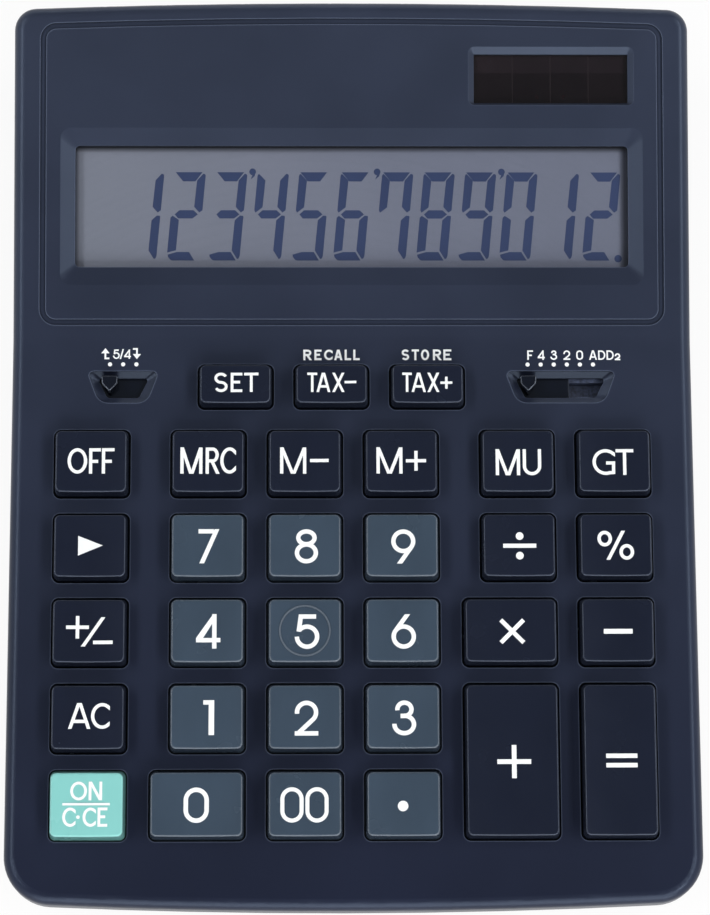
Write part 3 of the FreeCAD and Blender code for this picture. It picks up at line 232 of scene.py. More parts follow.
def case_plastic(name, rear, front, rim_highlight):
    """The case's plastic, with smooth walls, painted shade in its corners, on its shut-in walls, in the
    switch recesses and towards the front, and painted highlights on its edges.
    """
    nodes = Nodes(name)
    shader = nodes.surface(IOR=PLASTIC_IOR, Specular_IOR_Level=0.35, Specular_Tint=NAVY_SHINE)
    # Painted shade: the tone darkens from the case's rear end to its front end.
    tone = nodes.blend(nodes.along("Y", *CASE_ENDS), front, rear)
    tone = nodes.scaled(tone, nodes.remap(nodes.noise(35.0, 3.0), 0.88, 1.12))
    # Painted highlight: edges that do not face the front are lightened towards the given edge tone.
    edge = nodes.remap(nodes.nearness(HIGHLIGHT_EDGE_REACH, True), 0.0, 1.0, 0.1, 0.6)
    away_from_front = nodes.along("Y", -0.5, -0.2, nodes.facing)
    tone = nodes.blend(nodes.times(edge, away_from_front), tone, rim_highlight)
    # Painted shade: corners where other faces come near are darkened.
    corner = nodes.remap(nodes.nearness(CORNER_REACH), 0.0, 1.0, 0.2, 0.8)
    tone = nodes.blend(corner, tone, shade(front, 0.35))
    # Painted shade: steep walls shut in by other faces are darkened; they are also made fully rough.
    shut_in = nodes.remap(nodes.nearness(WALL_REACH), 0.0, 1.0, 0.2, 0.5)
    shaded_walls = nodes.times(nodes.along("Z", 0.5, 0.1, nodes.facing), shut_in)
    tone = nodes.blend(shaded_walls, tone, shade(front, 0.3))
    # Painted shade: slopes facing the front, in the band of the switch recesses and at each side outside the
    # strip between them, are darkened.
    shaded_slopes = nodes.along("Y", -0.1, -0.4, nodes.facing)
    for border in SWITCH_BAND:
        shaded_slopes = nodes.times(shaded_slopes, nodes.along(*border))
    for border in SWITCH_STRIP:
        tone = nodes.blend(nodes.times(shaded_slopes, nodes.along(*border)), tone, shade(front, 0.55))
    nodes.link(tone, shader.inputs["Base Color"])
    fine = nodes.noise(GRAIN_SCALE, 2.0, 0.6)
    dull = nodes.add("ShaderNodeMath", operation="MAXIMUM")
    nodes.link(nodes.remap(fine, 0.28, 0.4), dull.inputs[0])
    nodes.link(shaded_walls, dull.inputs[1])
    nodes.link(dull.outputs["Value"], shader.inputs["Roughness"])
    relief = nodes.times(fine, nodes.along("Z", 0.15, 0.6, nodes.facing))
    normal = nodes.bump(relief, 0.25, GRAIN_DEPTH, nodes.soft_edges(EASED_EDGE))
    nodes.link(normal, shader.inputs["Normal"])
    return nodes.material


# How near other parts have to be for a key's painted shade.
KEY_REACH = 3.0 * MM


def satin(name, color, rough, vary=0.08, specular=0.5, shine=WHITE, rim_highlight=None, rear=1.0):
    """Smooth plastic with faint flow marks; given a rim tone, it is painted as on a key: painted shade on its
    sides and near other parts, and painted highlights on its rims.
    """
    nodes = Nodes(name)
    shader = nodes.surface(IOR=PLASTIC_IOR, Specular_IOR_Level=specular, Specular_Tint=shine)
    clouds = nodes.remap(nodes.noise(90.0, 3.0, stretch=(1.0, 0.5, 1.0)), 0.0, 1.0)
    tone = nodes.blend(clouds, shade(color, 1.0 - vary), shade(color, 1.0 + vary))
    if rim_highlight:
        # Painted shade: the sides of a key are darkened.
        tone = nodes.blend(nodes.along("Z", 0.2, 0.8, nodes.facing), shade(color, 0.4), tone)
        # Painted highlight: the rims are lightened towards the given rim tone, most on rims facing the front;
        # rear sets the share on rims facing the rear.
        edge = nodes.remap(nodes.nearness(HIGHLIGHT_EDGE_REACH, True), 0.0, 1.0, 0.08, 0.5)
        off_the_flat = nodes.along("Z", 0.995, 0.93, nodes.facing)
        edge = nodes.times(edge, nodes.remap(off_the_flat, 0.2, 1.0, 0.0, 1.0))
        toward_front = nodes.remap(nodes.along("Y", 0.4, -0.2, nodes.facing), rear, 1.0, 0.0, 1.0)
        tone = nodes.blend(nodes.times(edge, toward_front), tone, rim_highlight)
        # Painted shade: where other parts come near, the tone is darkened.
        neighbour_shade = nodes.remap(nodes.nearness(KEY_REACH), 0.0, 1.0, 0.2, 0.7)
        tone = nodes.blend(neighbour_shade, tone, shade(color, 0.2))
    nodes.link(tone, shader.inputs["Base Color"])
    polish = nodes.noise(110.0, 3.0, 0.5)
    nodes.link(nodes.remap(polish, rough - 0.02, rough + 0.03), shader.inputs["Roughness"])
    nodes.link(nodes.bump(nodes.noise(2600.0, 2.0), 0.12, FINE_DEPTH), shader.inputs["Normal"])
    return nodes.material


def metal(name, color, rough, brushed=(1.0, 1.0, 1.0)):
    """Bare metal, streaked the way it was brushed."""
    nodes = Nodes(name)
    shader = nodes.surface(Metallic=1.0)
    streaks = nodes.noise(900.0, 3.0, 0.6, stretch=brushed)
    tone = nodes.blend(nodes.remap(streaks, 0.0, 1.0), shade(color, 0.86), shade(color, 1.0))
    nodes.link(tone, shader.inputs["Base Color"])
    nodes.link(nodes.remap(streaks, rough - 0.06, rough + 0.1), shader.inputs["Roughness"])
    nodes.link(nodes.bump(streaks, 0.15, FINE_DEPTH), shader.inputs["Normal"])
    return nodes.material


def clear_sheet(name, tint, rough):
    """A thin clear sheet: it passes light straight through and keeps a soft shine."""
    nodes = Nodes(name)
    passing = nodes.add("ShaderNodeBsdfTransparent")
    passing.inputs["Color"].default_value = tint
    shine = nodes.add("ShaderNodeBsdfGlossy")
    smears = nodes.noise(120.0, 4.0)
    nodes.link(nodes.remap(smears, rough, rough + 0.08), shine.inputs["Roughness"])
    fresnel = nodes.add("ShaderNodeFresnel")
    backs = nodes.add("ShaderNodeNewGeometry").outputs["Backfacing"]
    nodes.link(nodes.remap(backs, WINDOW_IOR, 1.0 / WINDOW_IOR, 0.0, 1.0), fresnel.inputs["IOR"])
    mix = nodes.add("ShaderNodeMixShader")
    nodes.link(fresnel.outputs["Fac"], mix.inputs["Fac"])
    nodes.link(passing.outputs["BSDF"], mix.inputs[1])
    nodes.link(shine.outputs["BSDF"], mix.inputs[2])
    nodes.link(mix.outputs["Shader"], nodes.output.inputs["Surface"])
    return nodes.material


# The case's tone at its rear end, and the darker tone at its front end, which is painted shade.
BODY = srgb(46, 52, 68)
BODY_SHADED_FRONT = srgb(26, 30, 47)
# The light edge and rim tones given below are painted highlights.
MATERIALS = {
    "case_blue": case_plastic("case_blue", BODY, BODY_SHADED_FRONT, srgb(100, 110, 132)),
    "case_base": moulded("case_base", srgb(30, 34, 50), 0.45, specular=0.35, shine=NAVY_SHINE),
    "cell_steel": metal("cell_steel", (0.66, 0.66, 0.67, 1.0), 0.28, (1.0, 12.0, 1.0)),
    "contact_metal": metal("contact_metal", (0.70, 0.67, 0.58, 1.0), 0.3, (1.0, 8.0, 1.0)),
    "wire_cover": satin("wire_cover", srgb(176, 44, 38), 0.4),
    "board": satin("board", srgb(34, 92, 58), 0.35),
    "chip_resin": satin("chip_resin", srgb(18, 18, 20), 0.2),
    "capacitor_can": metal("capacitor_can", (0.42, 0.44, 0.50, 1.0), 0.35),
    "silicone": satin("silicone", srgb(170, 170, 168), 0.7),
    "clear_sheet": clear_sheet("clear_sheet", (0.97, 0.98, 0.98, 1.0), 0.03),
    "inner_plastic": moulded("inner_plastic", srgb(24, 27, 36), 0.5),
    "ribbon_film": satin("ribbon_film", srgb(150, 112, 62), 0.35),
    "knob_black": satin(
        "knob_black",
        srgb(9, 13, 24),
        0.15,
        specular=0.9,
        shine=DARK_SHINE,
        rim_highlight=srgb(150, 158, 172),
        rear=0.1,
    ),
    "screw_steel": metal("screw_steel", (0.42, 0.42, 0.44, 1.0), 0.3),
    "foot_rubber": moulded("foot_rubber", srgb(26, 26, 27), 0.85, 2500.0, 0.35),
    "key_dark": satin(
        "key_dark",
        srgb(24, 29, 44),
        0.25,
        specular=0.4,
        shine=DARK_SHINE,
        rim_highlight=srgb(136, 148, 172),
        rear=0.1,
    ),
    "key_slate": satin(
        "key_slate", srgb(57, 71, 86), 0.25, specular=0.45, rim_highlight=srgb(232, 240, 250), rear=0.5
    ),
    "key_turquoise": satin(
        "key_turquoise", srgb(134, 202, 197), 0.28, 0.03, 0.4, rim_highlight=srgb(200, 242, 238)
    ),
}


# The shaded ends and rear of the display's face, in metres.
FACE_ENDS = (("X", 0.0611, 0.0621), ("X", -0.0618, -0.0628))
FACE_REAR = ("Y", 0.0682, 0.0694)


def display_face():
    """The grey face of the display: a fine reflector grain under the polariser."""
    nodes = Nodes("lcd_face")
    shader = nodes.surface(IOR=WINDOW_IOR, Specular_IOR_Level=0.3)
    clouds = nodes.remap(nodes.noise(30.0, 2.0), 0.0, 1.0)
    grain = nodes.noise(9000.0, 1.0)
    # Painted light: the face is lighter at its left end and darker towards the right.
    left = nodes.blend(clouds, srgb(126, 130, 144), srgb(130, 133, 148))
    right = nodes.blend(clouds, srgb(113, 117, 135), srgb(117, 121, 139))
    tone = nodes.blend(nodes.along("X", -0.06, 0.02), left, right)
    for end in FACE_ENDS:
        tone = nodes.blend(nodes.along(*end), tone, srgb(60, 63, 76))
    tone = nodes.blend(nodes.along(*FACE_REAR), tone, srgb(30, 32, 40))
    nodes.link(tone, shader.inputs["Base Color"])
    nodes.link(nodes.remap(grain, 0.4, 0.55), shader.inputs["Roughness"])
    nodes.link(nodes.bump(grain, 0.06, FINE_DEPTH), shader.inputs["Normal"])
    return nodes.material


def solar_face():
    """Amorphous solar cell: brown-black, glossy, with a faint shift of tone."""
    nodes = Nodes("solar_face")
    shader = nodes.surface(IOR=PLASTIC_IOR, Specular_IOR_Level=0.5)
    clouds = nodes.noise(60.0, 2.0)
    tone = nodes.blend(nodes.remap(clouds, 0.0, 1.0), srgb(25, 19, 24), srgb(36, 28, 33))
    nodes.link(tone, shader.inputs["Base Color"])
    nodes.link(nodes.remap(nodes.noise(400.0), 0.12, 0.2), shader.inputs["Roughness"])
    nodes.link(nodes.bump(nodes.noise(1500.0), 0.03, FINE_DEPTH), shader.inputs["Normal"])
    return nodes.material


MATERIALS["lcd_face"] = display_face()
MATERIALS["solar_face"] = solar_face()
INK = satin("legend_white", srgb(244, 247, 248), 0.5, 0.015)
SEGMENT = satin("display_ink", srgb(49, 61, 95), 0.5, 0.06, 0.2)
SOLAR_LINE = satin("solar_line", srgb(40, 32, 35), 0.3, 0.05)
SLIDE_BASE = moulded("slide_base", srgb(61, 70, 93), 0.5, 2200.0, 0.6, 0.55, clouds=1500.0)

node_slots = {part["node"]: part["material_slot"] for part in frame["record"]["subparts"]}
for node_name, node in frame["nodes"].items():
    node.data.materials.clear()
    slide = node_name in ("rounding_base", "decimal_base")
    node.data.materials.append(SLIDE_BASE if slide else MATERIALS[node_slots[node_name]])


# Strokes of the lettering. A glyph is drawn in a unit square that is the inside of its box, half a
# stroke in from its edges. Each stroke is (points, closed, start cut, end cut); a cut "h" runs the end
# out to the box's top or bottom edge and trims it level, "v" does the same at its sides, and "" leaves
# a square end. A filled outline is (points, "fill", "", "").
ARC_STEP = 9
SHARPEST_MITRE = 0.35
LONGEST_RUN = 0.9


def arc(cx, cy, rx, ry, start, end):
    steps = max(6, int(abs(end - start) / ARC_STEP))
    angles = [math.radians(start + (end - start) * i / steps) for i in range(steps + 1)]
    return [(cx + rx * math.cos(a), cy + ry * math.sin(a)) for a in angles]


def ring(cx, cy, rx, ry):
    return (arc(cx, cy, rx, ry, 0, 360)[:-1], True, "", "")


def line(*points, start="", end=""):
    return (list(points), False, start, end)


def fill(*points):
    return (list(points), "fill", "", "")


def touch(centre, radius, point, side):
    """Angle in degrees at which a line from the point touches the circle, on the side given."""
    dx, dy = point[0] - centre[0], point[1] - centre[1]
    return math.degrees(math.atan2(dy, dx) + side * math.acos(radius / math.hypot(dx, dy)))


def turned(strokes):
    """The same strokes turned by half a turn."""
    result = []
    for points, closed, start, end in strokes:
        result.append(([(1.0 - x, 1.0 - y) for x, y in points], closed, start, end))
    return result


def glyph(char, wide, tall, half):
    """Strokes of a character whose inner box is wide by tall, with strokes twice half thick."""
    w, h = half / wide, half / tall
    a = wide / tall
    r = 0.5 * a

    def out(u, t):
        """A point given as shares of the whole box, with the strokes' thickness in it."""
        return (u * (1 + 2 * w) - w, t * (1 + 2 * h) - h)

    def level(run):
        """Half the width of a level cut through a stroke that crosses the run as it rises the box."""
        return w * math.hypot(1, run * wide / (tall + 2 * half))

    if char == "0":
        return [(arc(0.5, 1 - r, 0.5, r, 0, 180) + arc(0.5, r, 0.5, r, 180, 360), True, "", "")]
    if char == "1":
        stem = 1 - 1.5 * w
        return [
            line((0, 1), (0.9, 1), start="v"),
            fill((stem, -h), (1 + w, -h), (1 + w, 1 + h), (stem, 1 + h)),
        ]
    if char == "2":
        foot = (0.09 * a, 0.02)
        angle = touch((r, 1 - r), r, foot, 1)
        bend = arc(0.5, 1 - r, 0.5, r, 188, angle)
        return [line(*bend, (foot[0] / a, foot[1])), line((0, 0), (1, 0), start="v", end="v")]
    if char == "3":
        x, y = out(0.513, 0.7465)
        upper = arc(x, y, 0.387 * (1 + 2 * w) - w, 0.2535 * (1 + 2 * h) - h, 188, -90)
        x, y = out(0.5, 0.314)
        lower = arc(x, y, 0.5, 0.314 * (1 + 2 * h) - h, 90, -184)
        return [line(*upper, (out(0.35, 0)[0], upper[-1][1])), line(*lower)]
    if char == "4":
        stem, bar = 0.75 * (1 + 2 * w) - w, 0.245 * (1 + 2 * h) - h
        under, over = bar - h, bar + h
        foot, top = stem - w, out(0, 0.72)[1]
        left, right = out(0.29, 0)[0], out(0.7, 0)[0]
        return [
            fill((-w, over), (left, over), (foot, top), (stem, top), (stem, 1 + h), (right, 1 + h)),
            fill((-w, under), (1 + w, under), (1 + w, over), (-w, over)),
            fill((foot, -h), (stem + w, -h), (stem + w, 1 + h), (foot, 1 + h)),
        ]
    if char == "5":
        x, y = out(0.513, 0.354)
        ry = 0.354 * (1 + 2 * h) - h
        corner = (out(0.17, 0)[0] + w, 1.0)
        stem = line((out(0.883, 0)[0], 1), corner, (out(0.085, 0)[0] + w, out(0, 0.5)[1]))
        return [stem, line(*arc(x, y, ry / a, ry, 142, -180))]
    if char in "69":
        tail = (out(0.66, 0)[0], 1 + h)
        angle = touch((r, r), r, (tail[0] * a, tail[1]), 1)
        meet = arc(0.5, r, 0.5, r, angle, angle + 9)[0]
        strokes = [line(tail, meet, start="h"), ring(0.5, r, 0.5, r)]
        return strokes if char == "6" else turned(strokes)
    if char == "7":
        lean = level(0.75)
        slant = line((1 + w - lean, 1 + h), (out(0.16, 0)[0], -h), start="h", end="h")
        return [line((0, 1), (0.8, 1), start="v"), slant]
    if char == "8":
        x, y = out(0.5, 0.75)
        upper = ring(x, y, 0.443 * (1 + 2 * w) - w, 0.25 * (1 + 2 * h) - h)
        x, y = out(0.5, 0.308)
        return [upper, ring(x, y, 0.5, 0.308 * (1 + 2 * h) - h)]
    if char == "%":
        slash = line(out(0.71, 1), out(0.29, 0), start="h", end="h")
        return [ring(0.17, 0.76, 0.17, 0.24), ring(0.83, 0.24, 0.17, 0.24), slash]
    if char == "A":
        lean = level(0.45)
        left = line((-w + lean, -h), (0.47, 1 + h), start="h", end="h")
        right = turned([line((-w + lean, 1 + h), (0.47, -h), start="h", end="h")])
        return [left] + right + [line((0.2, 0.26), (0.8, 0.26))]
    if char == "C":
        return [line(*arc(0.62, 0.5, 0.62, 0.5, 52, 308), start="v", end="v")]
    if char == "D":
        return [(arc(0.4, 0.5, 0.6, 0.5, -90, 90) + [(0, 1), (0, 0)], True, "", "")]
    if char == "E":
        bars = [line((0, y), (1, y), end="v") for y in (0, 1)]
        return bars + [line((0, 0.52), (0.9, 0.52)), line((0, 1), (0, 0), start="h", end="h")]
    if char == "F":
        bars = [line((0, 1), (1, 1), end="v"), line((0, 0.48), (0.9, 0.48))]
        return bars + [line((0, 1), (0, 0), start="h", end="h")]
    if char == "G":
        bowl = arc(0.6, 0.5, 0.6, 0.5, 50, 290)
        return [line(*bowl, (1, 0.04), (1, 0.46), (0.62, 0.46), start="v")]
    if char == "L":
        return [line((0, 1), (0, 0), (1, 0), start="h", end="v")]
    if char == "M":
        lean = level(0.45)
        stems = [line((side, 0), (side, 1), start="h", end="h") for side in (0, 1)]
        left = [line((-w + lean, 1 + h), (0.475, -h), start="h", end="h")]
        return stems + left + [line((1 + w - lean, 1 + h), (0.525, -h), start="h", end="h")]
    if char == "N":
        lean = level(0.9)
        stems = [line((side, 0), (side, 1), start="h", end="h") for side in (0, 1)]
        return stems + [line((-w + lean, 1 + h), (1 + w - lean, -h), start="h", end="h")]
    if char == "O":
        return [ring(0.5, 0.5, 0.5, 0.5)]
    if char == "R":
        bowl = [(0, 1)] + arc(0.52, 0.745, 0.4, 0.255, 90, -90) + [(0, 0.49)]
        leg = line((0.42, 0.5), (1 + w - level(0.55), -h), end="h")
        return [line(*bowl), line((0, 1), (0, 0), start="h", end="h"), leg]
    if char == "S":
        upper = arc(0.5, 0.75, 0.5, 0.25, 25, 262)
        return [line(*upper, *arc(0.5, 0.25, 0.5, 0.25, 82, -155))]
    if char == "T":
        stem = line((0.5, 1), (0.5, 0), start="h", end="h")
        return [line((0, 1), (1, 1), start="v", end="v"), stem]
    if char == "U":
        return [line((0, 1), *arc(0.5, r, 0.5, r, 180, 360), (1, 1), start="h", end="h")]
    if char in "X/":
        lean = level(0.9)
        rise = line((-w + lean, -h), (1 + w - lean, 1 + h), start="h", end="h")
        fall = line((-w + lean, 1 + h), (1 + w - lean, -h), start="h", end="h")
        return [rise, fall] if char == "X" else [rise]
    if char == "+":
        upright = line((0.5, 0), (0.5, 1), start="h", end="h")
        return [line((0, 0.5), (1, 0.5), start="v", end="v"), upright]
    if char == "-":
        return [line((0, 0.5), (1, 0.5), start="v", end="v")]
    raise ValueError(char)


def spread(points, closed, longest):
    """The same line with its long runs divided, so that it can follow a hollow."""
    result = []
    count = len(points)
    for i in range(count if closed else count - 1):
        first, second = points[i], points[(i + 1) % count]
        pieces = max(1, math.ceil(math.dist(first, second) / longest))
        for k in range(pieces):
            part = k / pieces
            result.append(tuple(a + (b - a) * part for a, b in zip(first, second)))
    return result if closed else result + [points[-1]]


def sides(points, closed, half):
    """The line's left and right edges, half a stroke away, mitred at its corners."""
    count = len(points)
    left, right = [], []
    for i, point in enumerate(points):
        before = points[i - 1] if closed or i else None
        after = points[(i + 1) % count] if closed or i < count - 1 else None
        ways = []
        if before:
            ways.append(Vector((point[0] - before[0], point[1] - before[1])).normalized())
        if after:
            ways.append(Vector((after[0] - point[0], after[1] - point[1])).normalized())
        way = (ways[0] + ways[-1]).normalized()
        reach = half / max(SHARPEST_MITRE, way.dot(ways[0]))
        left.append((point[0] - way.y * reach, point[1] + way.x * reach))
        right.append((point[0] + way.y * reach, point[1] - way.x * reach))
    return left, right


def trimmed(corner, inner, axis, edge):
    """The corner of an end moved along its stroke's side until it lies on the box's edge."""
    run = (corner[0] - inner[0], corner[1] - inner[1])
    if abs(run[axis]) < 1e-6:
        return corner
    part = (edge - inner[axis]) / run[axis]
    return (inner[0] + run[0] * part, inner[1] + run[1] * part)


def stroke_slab(stroke, box, half, low, high):
    """Vertices and faces of one stroke as a closed slab, in mm."""
    points, closed, start, end = stroke
    x0, x1, y0, y1 = box
    wide, tall = x1 - x0 - 2 * half, y1 - y0 - 2 * half
    line_points = [(x0 + half + x * wide, y0 + half + y * tall) for x, y in points]
    if closed == "fill":
        return outline_slab(line_points, low, high)
    line_points = spread(line_points, closed, LONGEST_RUN)
    left, right = sides(line_points, closed, half)
    for place, inner, kind in ((0, 1, start), (-1, -2, end)):
        if kind:
            axis = 1 if kind == "h" else 0
            low_edge, high_edge = (y0, y1) if axis else (x0, x1)
            middle = (low_edge + high_edge) / 2
            edge = high_edge if line_points[place][axis] > middle else low_edge
            left[place] = trimmed(left[place], left[inner], axis, edge)
            right[place] = trimmed(right[place], right[inner], axis, edge)
    count = len(line_points)
    verts = []
    for z in (high, low):
        verts += [(x, y, z) for x, y in left] + [(x, y, z) for x, y in right]
    faces = []
    for i in range(count if closed else count - 1):
        k = (i + 1) % count
        faces.append((i, count + i, count + k, k))
        faces.append((2 * count + i, 2 * count + k, 3 * count + k, 3 * count + i))
        faces.append((i, k, 2 * count + k, 2 * count + i))
        faces.append((count + i, 3 * count + i, 3 * count + k, count + k))
    if not closed:
        last = count - 1
        faces.append((0, 2 * count, 3 * count, count))
        faces.append((last, count + last, 3 * count + last, 2 * count + last))
    return verts, faces


def outline_slab(points, low, high):
    """A filled outline, drawn anticlockwise, as a closed slab."""
    count = len(points)
    verts = [(x, y, high) for x, y in points] + [(x, y, low) for x, y in points]
    faces = [tuple(range(count)), tuple(range(2 * count - 1, count - 1, -1))]
    faces += [(i, count + i, count + (i + 1) % count, (i + 1) % count) for i in range(count)]
    return verts, faces


def disc(x, y, radius):
    return arc(x, y, radius, radius, 0, 360)[:-1]


def joined(slabs):
    """One mesh for slabs that cross each other, as a real union."""
    meshes = []
    for verts, faces in slabs:
        mesh = bpy.data.meshes.new("slab")
        mesh.from_pydata(verts, [], faces)
        meshes.append(mesh)
    if len(meshes) == 1:
        return meshes[0]
    group = bpy.data.collections.new("slabs")
    base, *others = [bpy.data.objects.new("slab", mesh) for mesh in meshes]
    bpy.context.scene.collection.objects.link(base)
    for other in others:
        group.objects.link(other)
    union = base.modifiers.new("union", "BOOLEAN")
    union.operand_type = "COLLECTION"
    union.collection = group
    union.operation = "UNION"
    union.solver = "EXACT"
    depsgraph = bpy.context.evaluated_depsgraph_get()
    whole = bpy.data.meshes.new_from_object(base.evaluated_get(depsgraph))
    for item in [base] + others:
        bpy.data.objects.remove(item)
    bpy.data.collections.remove(group)
    for mesh in meshes:
        bpy.data.meshes.remove(mesh)
    return whole


def piece(name, meshes, put, material, body):
    """One object from several flat meshes, each vertex put in its place by a function."""
    verts, faces = [], []
    for mesh in meshes:
        first = len(verts)
        verts += [put(*vertex.co) for vertex in mesh.vertices]
        faces += [tuple(first + index for index in face.vertices) for face in mesh.polygons]
        bpy.data.meshes.remove(mesh)
    mesh = bpy.data.meshes.new(name)
    mesh.from_pydata(verts, [], faces)
    mesh.update()
    item = bpy.data.objects.new(name, mesh)
    item.data.materials.append(material)
    bpy.context.scene.collection.objects.link(item)
    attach(item, body)


# Legends on the keys: each row is (character, left, right, front, rear) on the keyboard's slope.
KEY_RISE = 3.9
KEY_DISH = 0.4
KEY_WIDE = 15.8
WIDE_KEY = 20.0
INK_RISE = 0.03
INK_DEPTH = -0.12
DIGIT = 0.97
DOUBLE_ZERO = 0.87
LETTER = 0.73


def ink(outline):
    """A filled outline of printing."""
    return outline_slab(outline, INK_DEPTH, INK_RISE)


def ink_strokes(strokes, box, half):
    return joined([stroke_slab(stroke, box, half, INK_DEPTH, INK_RISE) for stroke in strokes])


def text_slabs(rows, thick):
    meshes = []
    for char, x0, x1, y0, y1 in rows:
        strokes = glyph(char, x1 - x0 - thick, max(0.01, y1 - y0 - thick), thick / 2)
        meshes.append(ink_strokes(strokes, (x0, x1, y0, y1), thick / 2))
    return meshes


def dish_lift(offset, wide):
    """The height of a keycap's hollow top at a place off its middle."""
    bow = wide * wide / (8 * KEY_DISH) + KEY_DISH / 2
    return KEY_RISE - KEY_DISH + bow - math.sqrt(bow * bow - offset * offset)


def legend(key, centre, wide, meshes):
    """Printing that follows the hollow top of its key."""

    def put(x, v, z):
        return on_slope(KEY_TILT, x, v, dish_lift(x - centre, wide) + z)

    piece("legend_" + key, meshes, put, INK, "key_" + key)


COLUMNS = {"a": -58.25, "b": -32.25, "c": -10.75, "d": 10.75, "e": 36.75, "f": 58.25}
WIDE_B, WIDE_E = COLUMNS["b"] - 2.1, COLUMNS["e"] - 2.1
SET_SHIFT = 6.0
DIGIT_TALL = 7.65
DIGIT_WIDE = 5.5
ROW_7, ROW_4, ROW_1, ROW_0 = -47.6, -66.7, -85.75, -104.65


def number_row(char, centre, v, wide=DIGIT_WIDE):
    return (char, centre - wide / 2, centre + wide / 2, v - DIGIT_TALL / 2, v + DIGIT_TALL / 2)


def letters_at(text, edges, front, rear):
    return [(char, x0, x1, front, rear) for char, (x0, x1) in zip(text, edges)]


NUMBER_KEYS = [
    ("7", -31.97, ROW_7 - 0.05, 4.6, "b"),
    ("8", -10.4, ROW_7 - 0.1, 5.15, "c"),
    ("9", 11.05, ROW_7 - 0.15, 5.35, "d"),
    ("4", -32.0, ROW_4 + 0.1, 5.35, "b"),
    ("5", -10.35, ROW_4, 5.4, "c"),
    ("6", 11.0, ROW_4, 5.4, "d"),
    ("1", -31.8, ROW_1 + 0.15, 2.4, "b"),
    ("2", -10.4, ROW_1, 5.15, "c"),
    ("3", 10.97, ROW_1, 5.25, "d"),
]
for char, centre, v, wide, column in NUMBER_KEYS:
    number = text_slabs([number_row(char, centre, v, wide)], DIGIT)
    legend(char, COLUMNS[column], KEY_WIDE, number)
legend("0", WIDE_B, WIDE_KEY, text_slabs([number_row("0", -34.4, ROW_0)], DIGIT))
double = [number_row("0", centre, ROW_0, 5.05) for centre in (-13.58, -8.14)]
legend("00", COLUMNS["c"], KEY_WIDE, text_slabs(double, DOUBLE_ZERO))
legend("point", COLUMNS["d"], KEY_WIDE, [joined([ink(disc(10.6, -104.95, 1.15))])])

# Words on the keys: (key, column, shift from it, rows, stroke).
OFF_ROW = (-31.35, -25.4)
SET_ROW = (-12.78, -8.36)
SET_LETTER = 0.62
TAX_LETTER = 0.56
OFF = letters_at("OFF", [(-63.45, -59.1), (-58.7, -56.1), (-55.85, -53.05)], -31.3, -25.55)
MRC = letters_at("MRC", [(-38.4, -33.5), (-32.8, -29.7), (-29.55, -26.05)], *OFF_ROW)
M_MINUS = letters_at("M", [(-16.25, -10.42)], *OFF_ROW) + [("-", -9.58, -5.44, -28.9, -27.85)]
M_PLUS = letters_at("M", [(5.2, 11.0)], *OFF_ROW) + [("+", 11.75, 16.25, -30.7, -26.2)]
SET = letters_at("SET", [(-30.95, -28.0), (-27.3, -24.7), (-24.3, -21.1)], *SET_ROW)
TAX_MINUS = letters_at("TAX", [(-10.18, -7.96), (-8.12, -5.02), (-4.61, -1.85)], *SET_ROW)
TAX_PLUS = letters_at("TAX", [(11.08, 13.22), (13.14, 16.36), (16.69, 19.38)], *SET_ROW)
WORD_KEYS = [
    ("off", "a", 0.0, OFF, LETTER),
    ("mrc", "b", 0.0, MRC, LETTER),
    ("m_minus", "c", 0.0, M_MINUS, LETTER),
    ("m_plus", "d", 0.0, M_PLUS, LETTER),
    ("mu", "e", 0.0, letters_at("MU", [(31.75, 37.2), (37.8, 41.9)], -31.75, -25.85), LETTER),
    ("gt", "f", 0.0, letters_at("GT", [(53.35, 58.4), (58.55, 62.5)], -31.7, -25.85), LETTER),
    ("ac", "a", 0.0, letters_at("AC", [(-62.5, -57.6), (-57.5, -53.4)], -88.0, -82.35), LETTER),
    ("set", "b", SET_SHIFT, SET, SET_LETTER),
    ("tax_minus", "c", SET_SHIFT, TAX_MINUS + [("-", -1.83, 0.78, -10.95, -10.1)], TAX_LETTER),
    ("tax_plus", "d", SET_SHIFT, TAX_PLUS + [("+", 19.6, 22.28, -12.05, -9.3)], TAX_LETTER),
]
for key, column, shift, rows, thick in WORD_KEYS:
    legend(key, COLUMNS[column] + shift, KEY_WIDE, text_slabs(rows, thick))


# Signs on the keys.
def bar(x, y, reach, thick, turn=0):
    """A square-ended bar about a centre, turned by an angle."""
    c, s = math.cos(math.radians(turn)), math.sin(math.radians(turn))
    half = thick / 2
    corners = ((-reach, -half), (reach, -half), (reach, half), (-reach, half))
    return ink([(x + dx * c - dy * s, y + dx * s + dy * c) for dx, dy in corners])


percent = text_slabs([("%", 54.1, 62.2, -50.8, -44.3)], 0.76)
legend("percent", COLUMNS["f"], KEY_WIDE, percent)
divide = [bar(36.85, -47.64, 3.68, 0.92), ink(disc(36.85, -45.45, 0.86)), ink(disc(36.85, -49.85, 0.86))]
legend("divide", COLUMNS["e"], KEY_WIDE, [joined([slab]) for slab in divide])
times = [bar(34.93, -66.7, 3.55, 0.95, turn) for turn in (45, -45)]
legend("multiply", WIDE_E, WIDE_KEY, [joined(times)])
legend("minus", COLUMNS["f"], KEY_WIDE, [joined([bar(58.3, -66.75, 3.18, 1.06)])])
plus = [bar(34.96, -95.36, reach, 1.03, turn) for reach, turn in ((3.7, 0), (3.62, 90))]
legend("plus", WIDE_E, WIDE_KEY, [joined(plus)])
equals = [joined([bar(58.5, v, 3.43, 0.97)]) for v in (-94.15, -96.2)]
legend("equals", COLUMNS["f"], KEY_WIDE, equals)
triangle = joined([ink([(-60.85, -49.7), (-55.4, -47.45), (-60.85, -45.3)])])
legend("shift", COLUMNS["a"], KEY_WIDE, [triangle])
SLASH_BOX = (-59.95, -54.65, -69.9, -63.45)
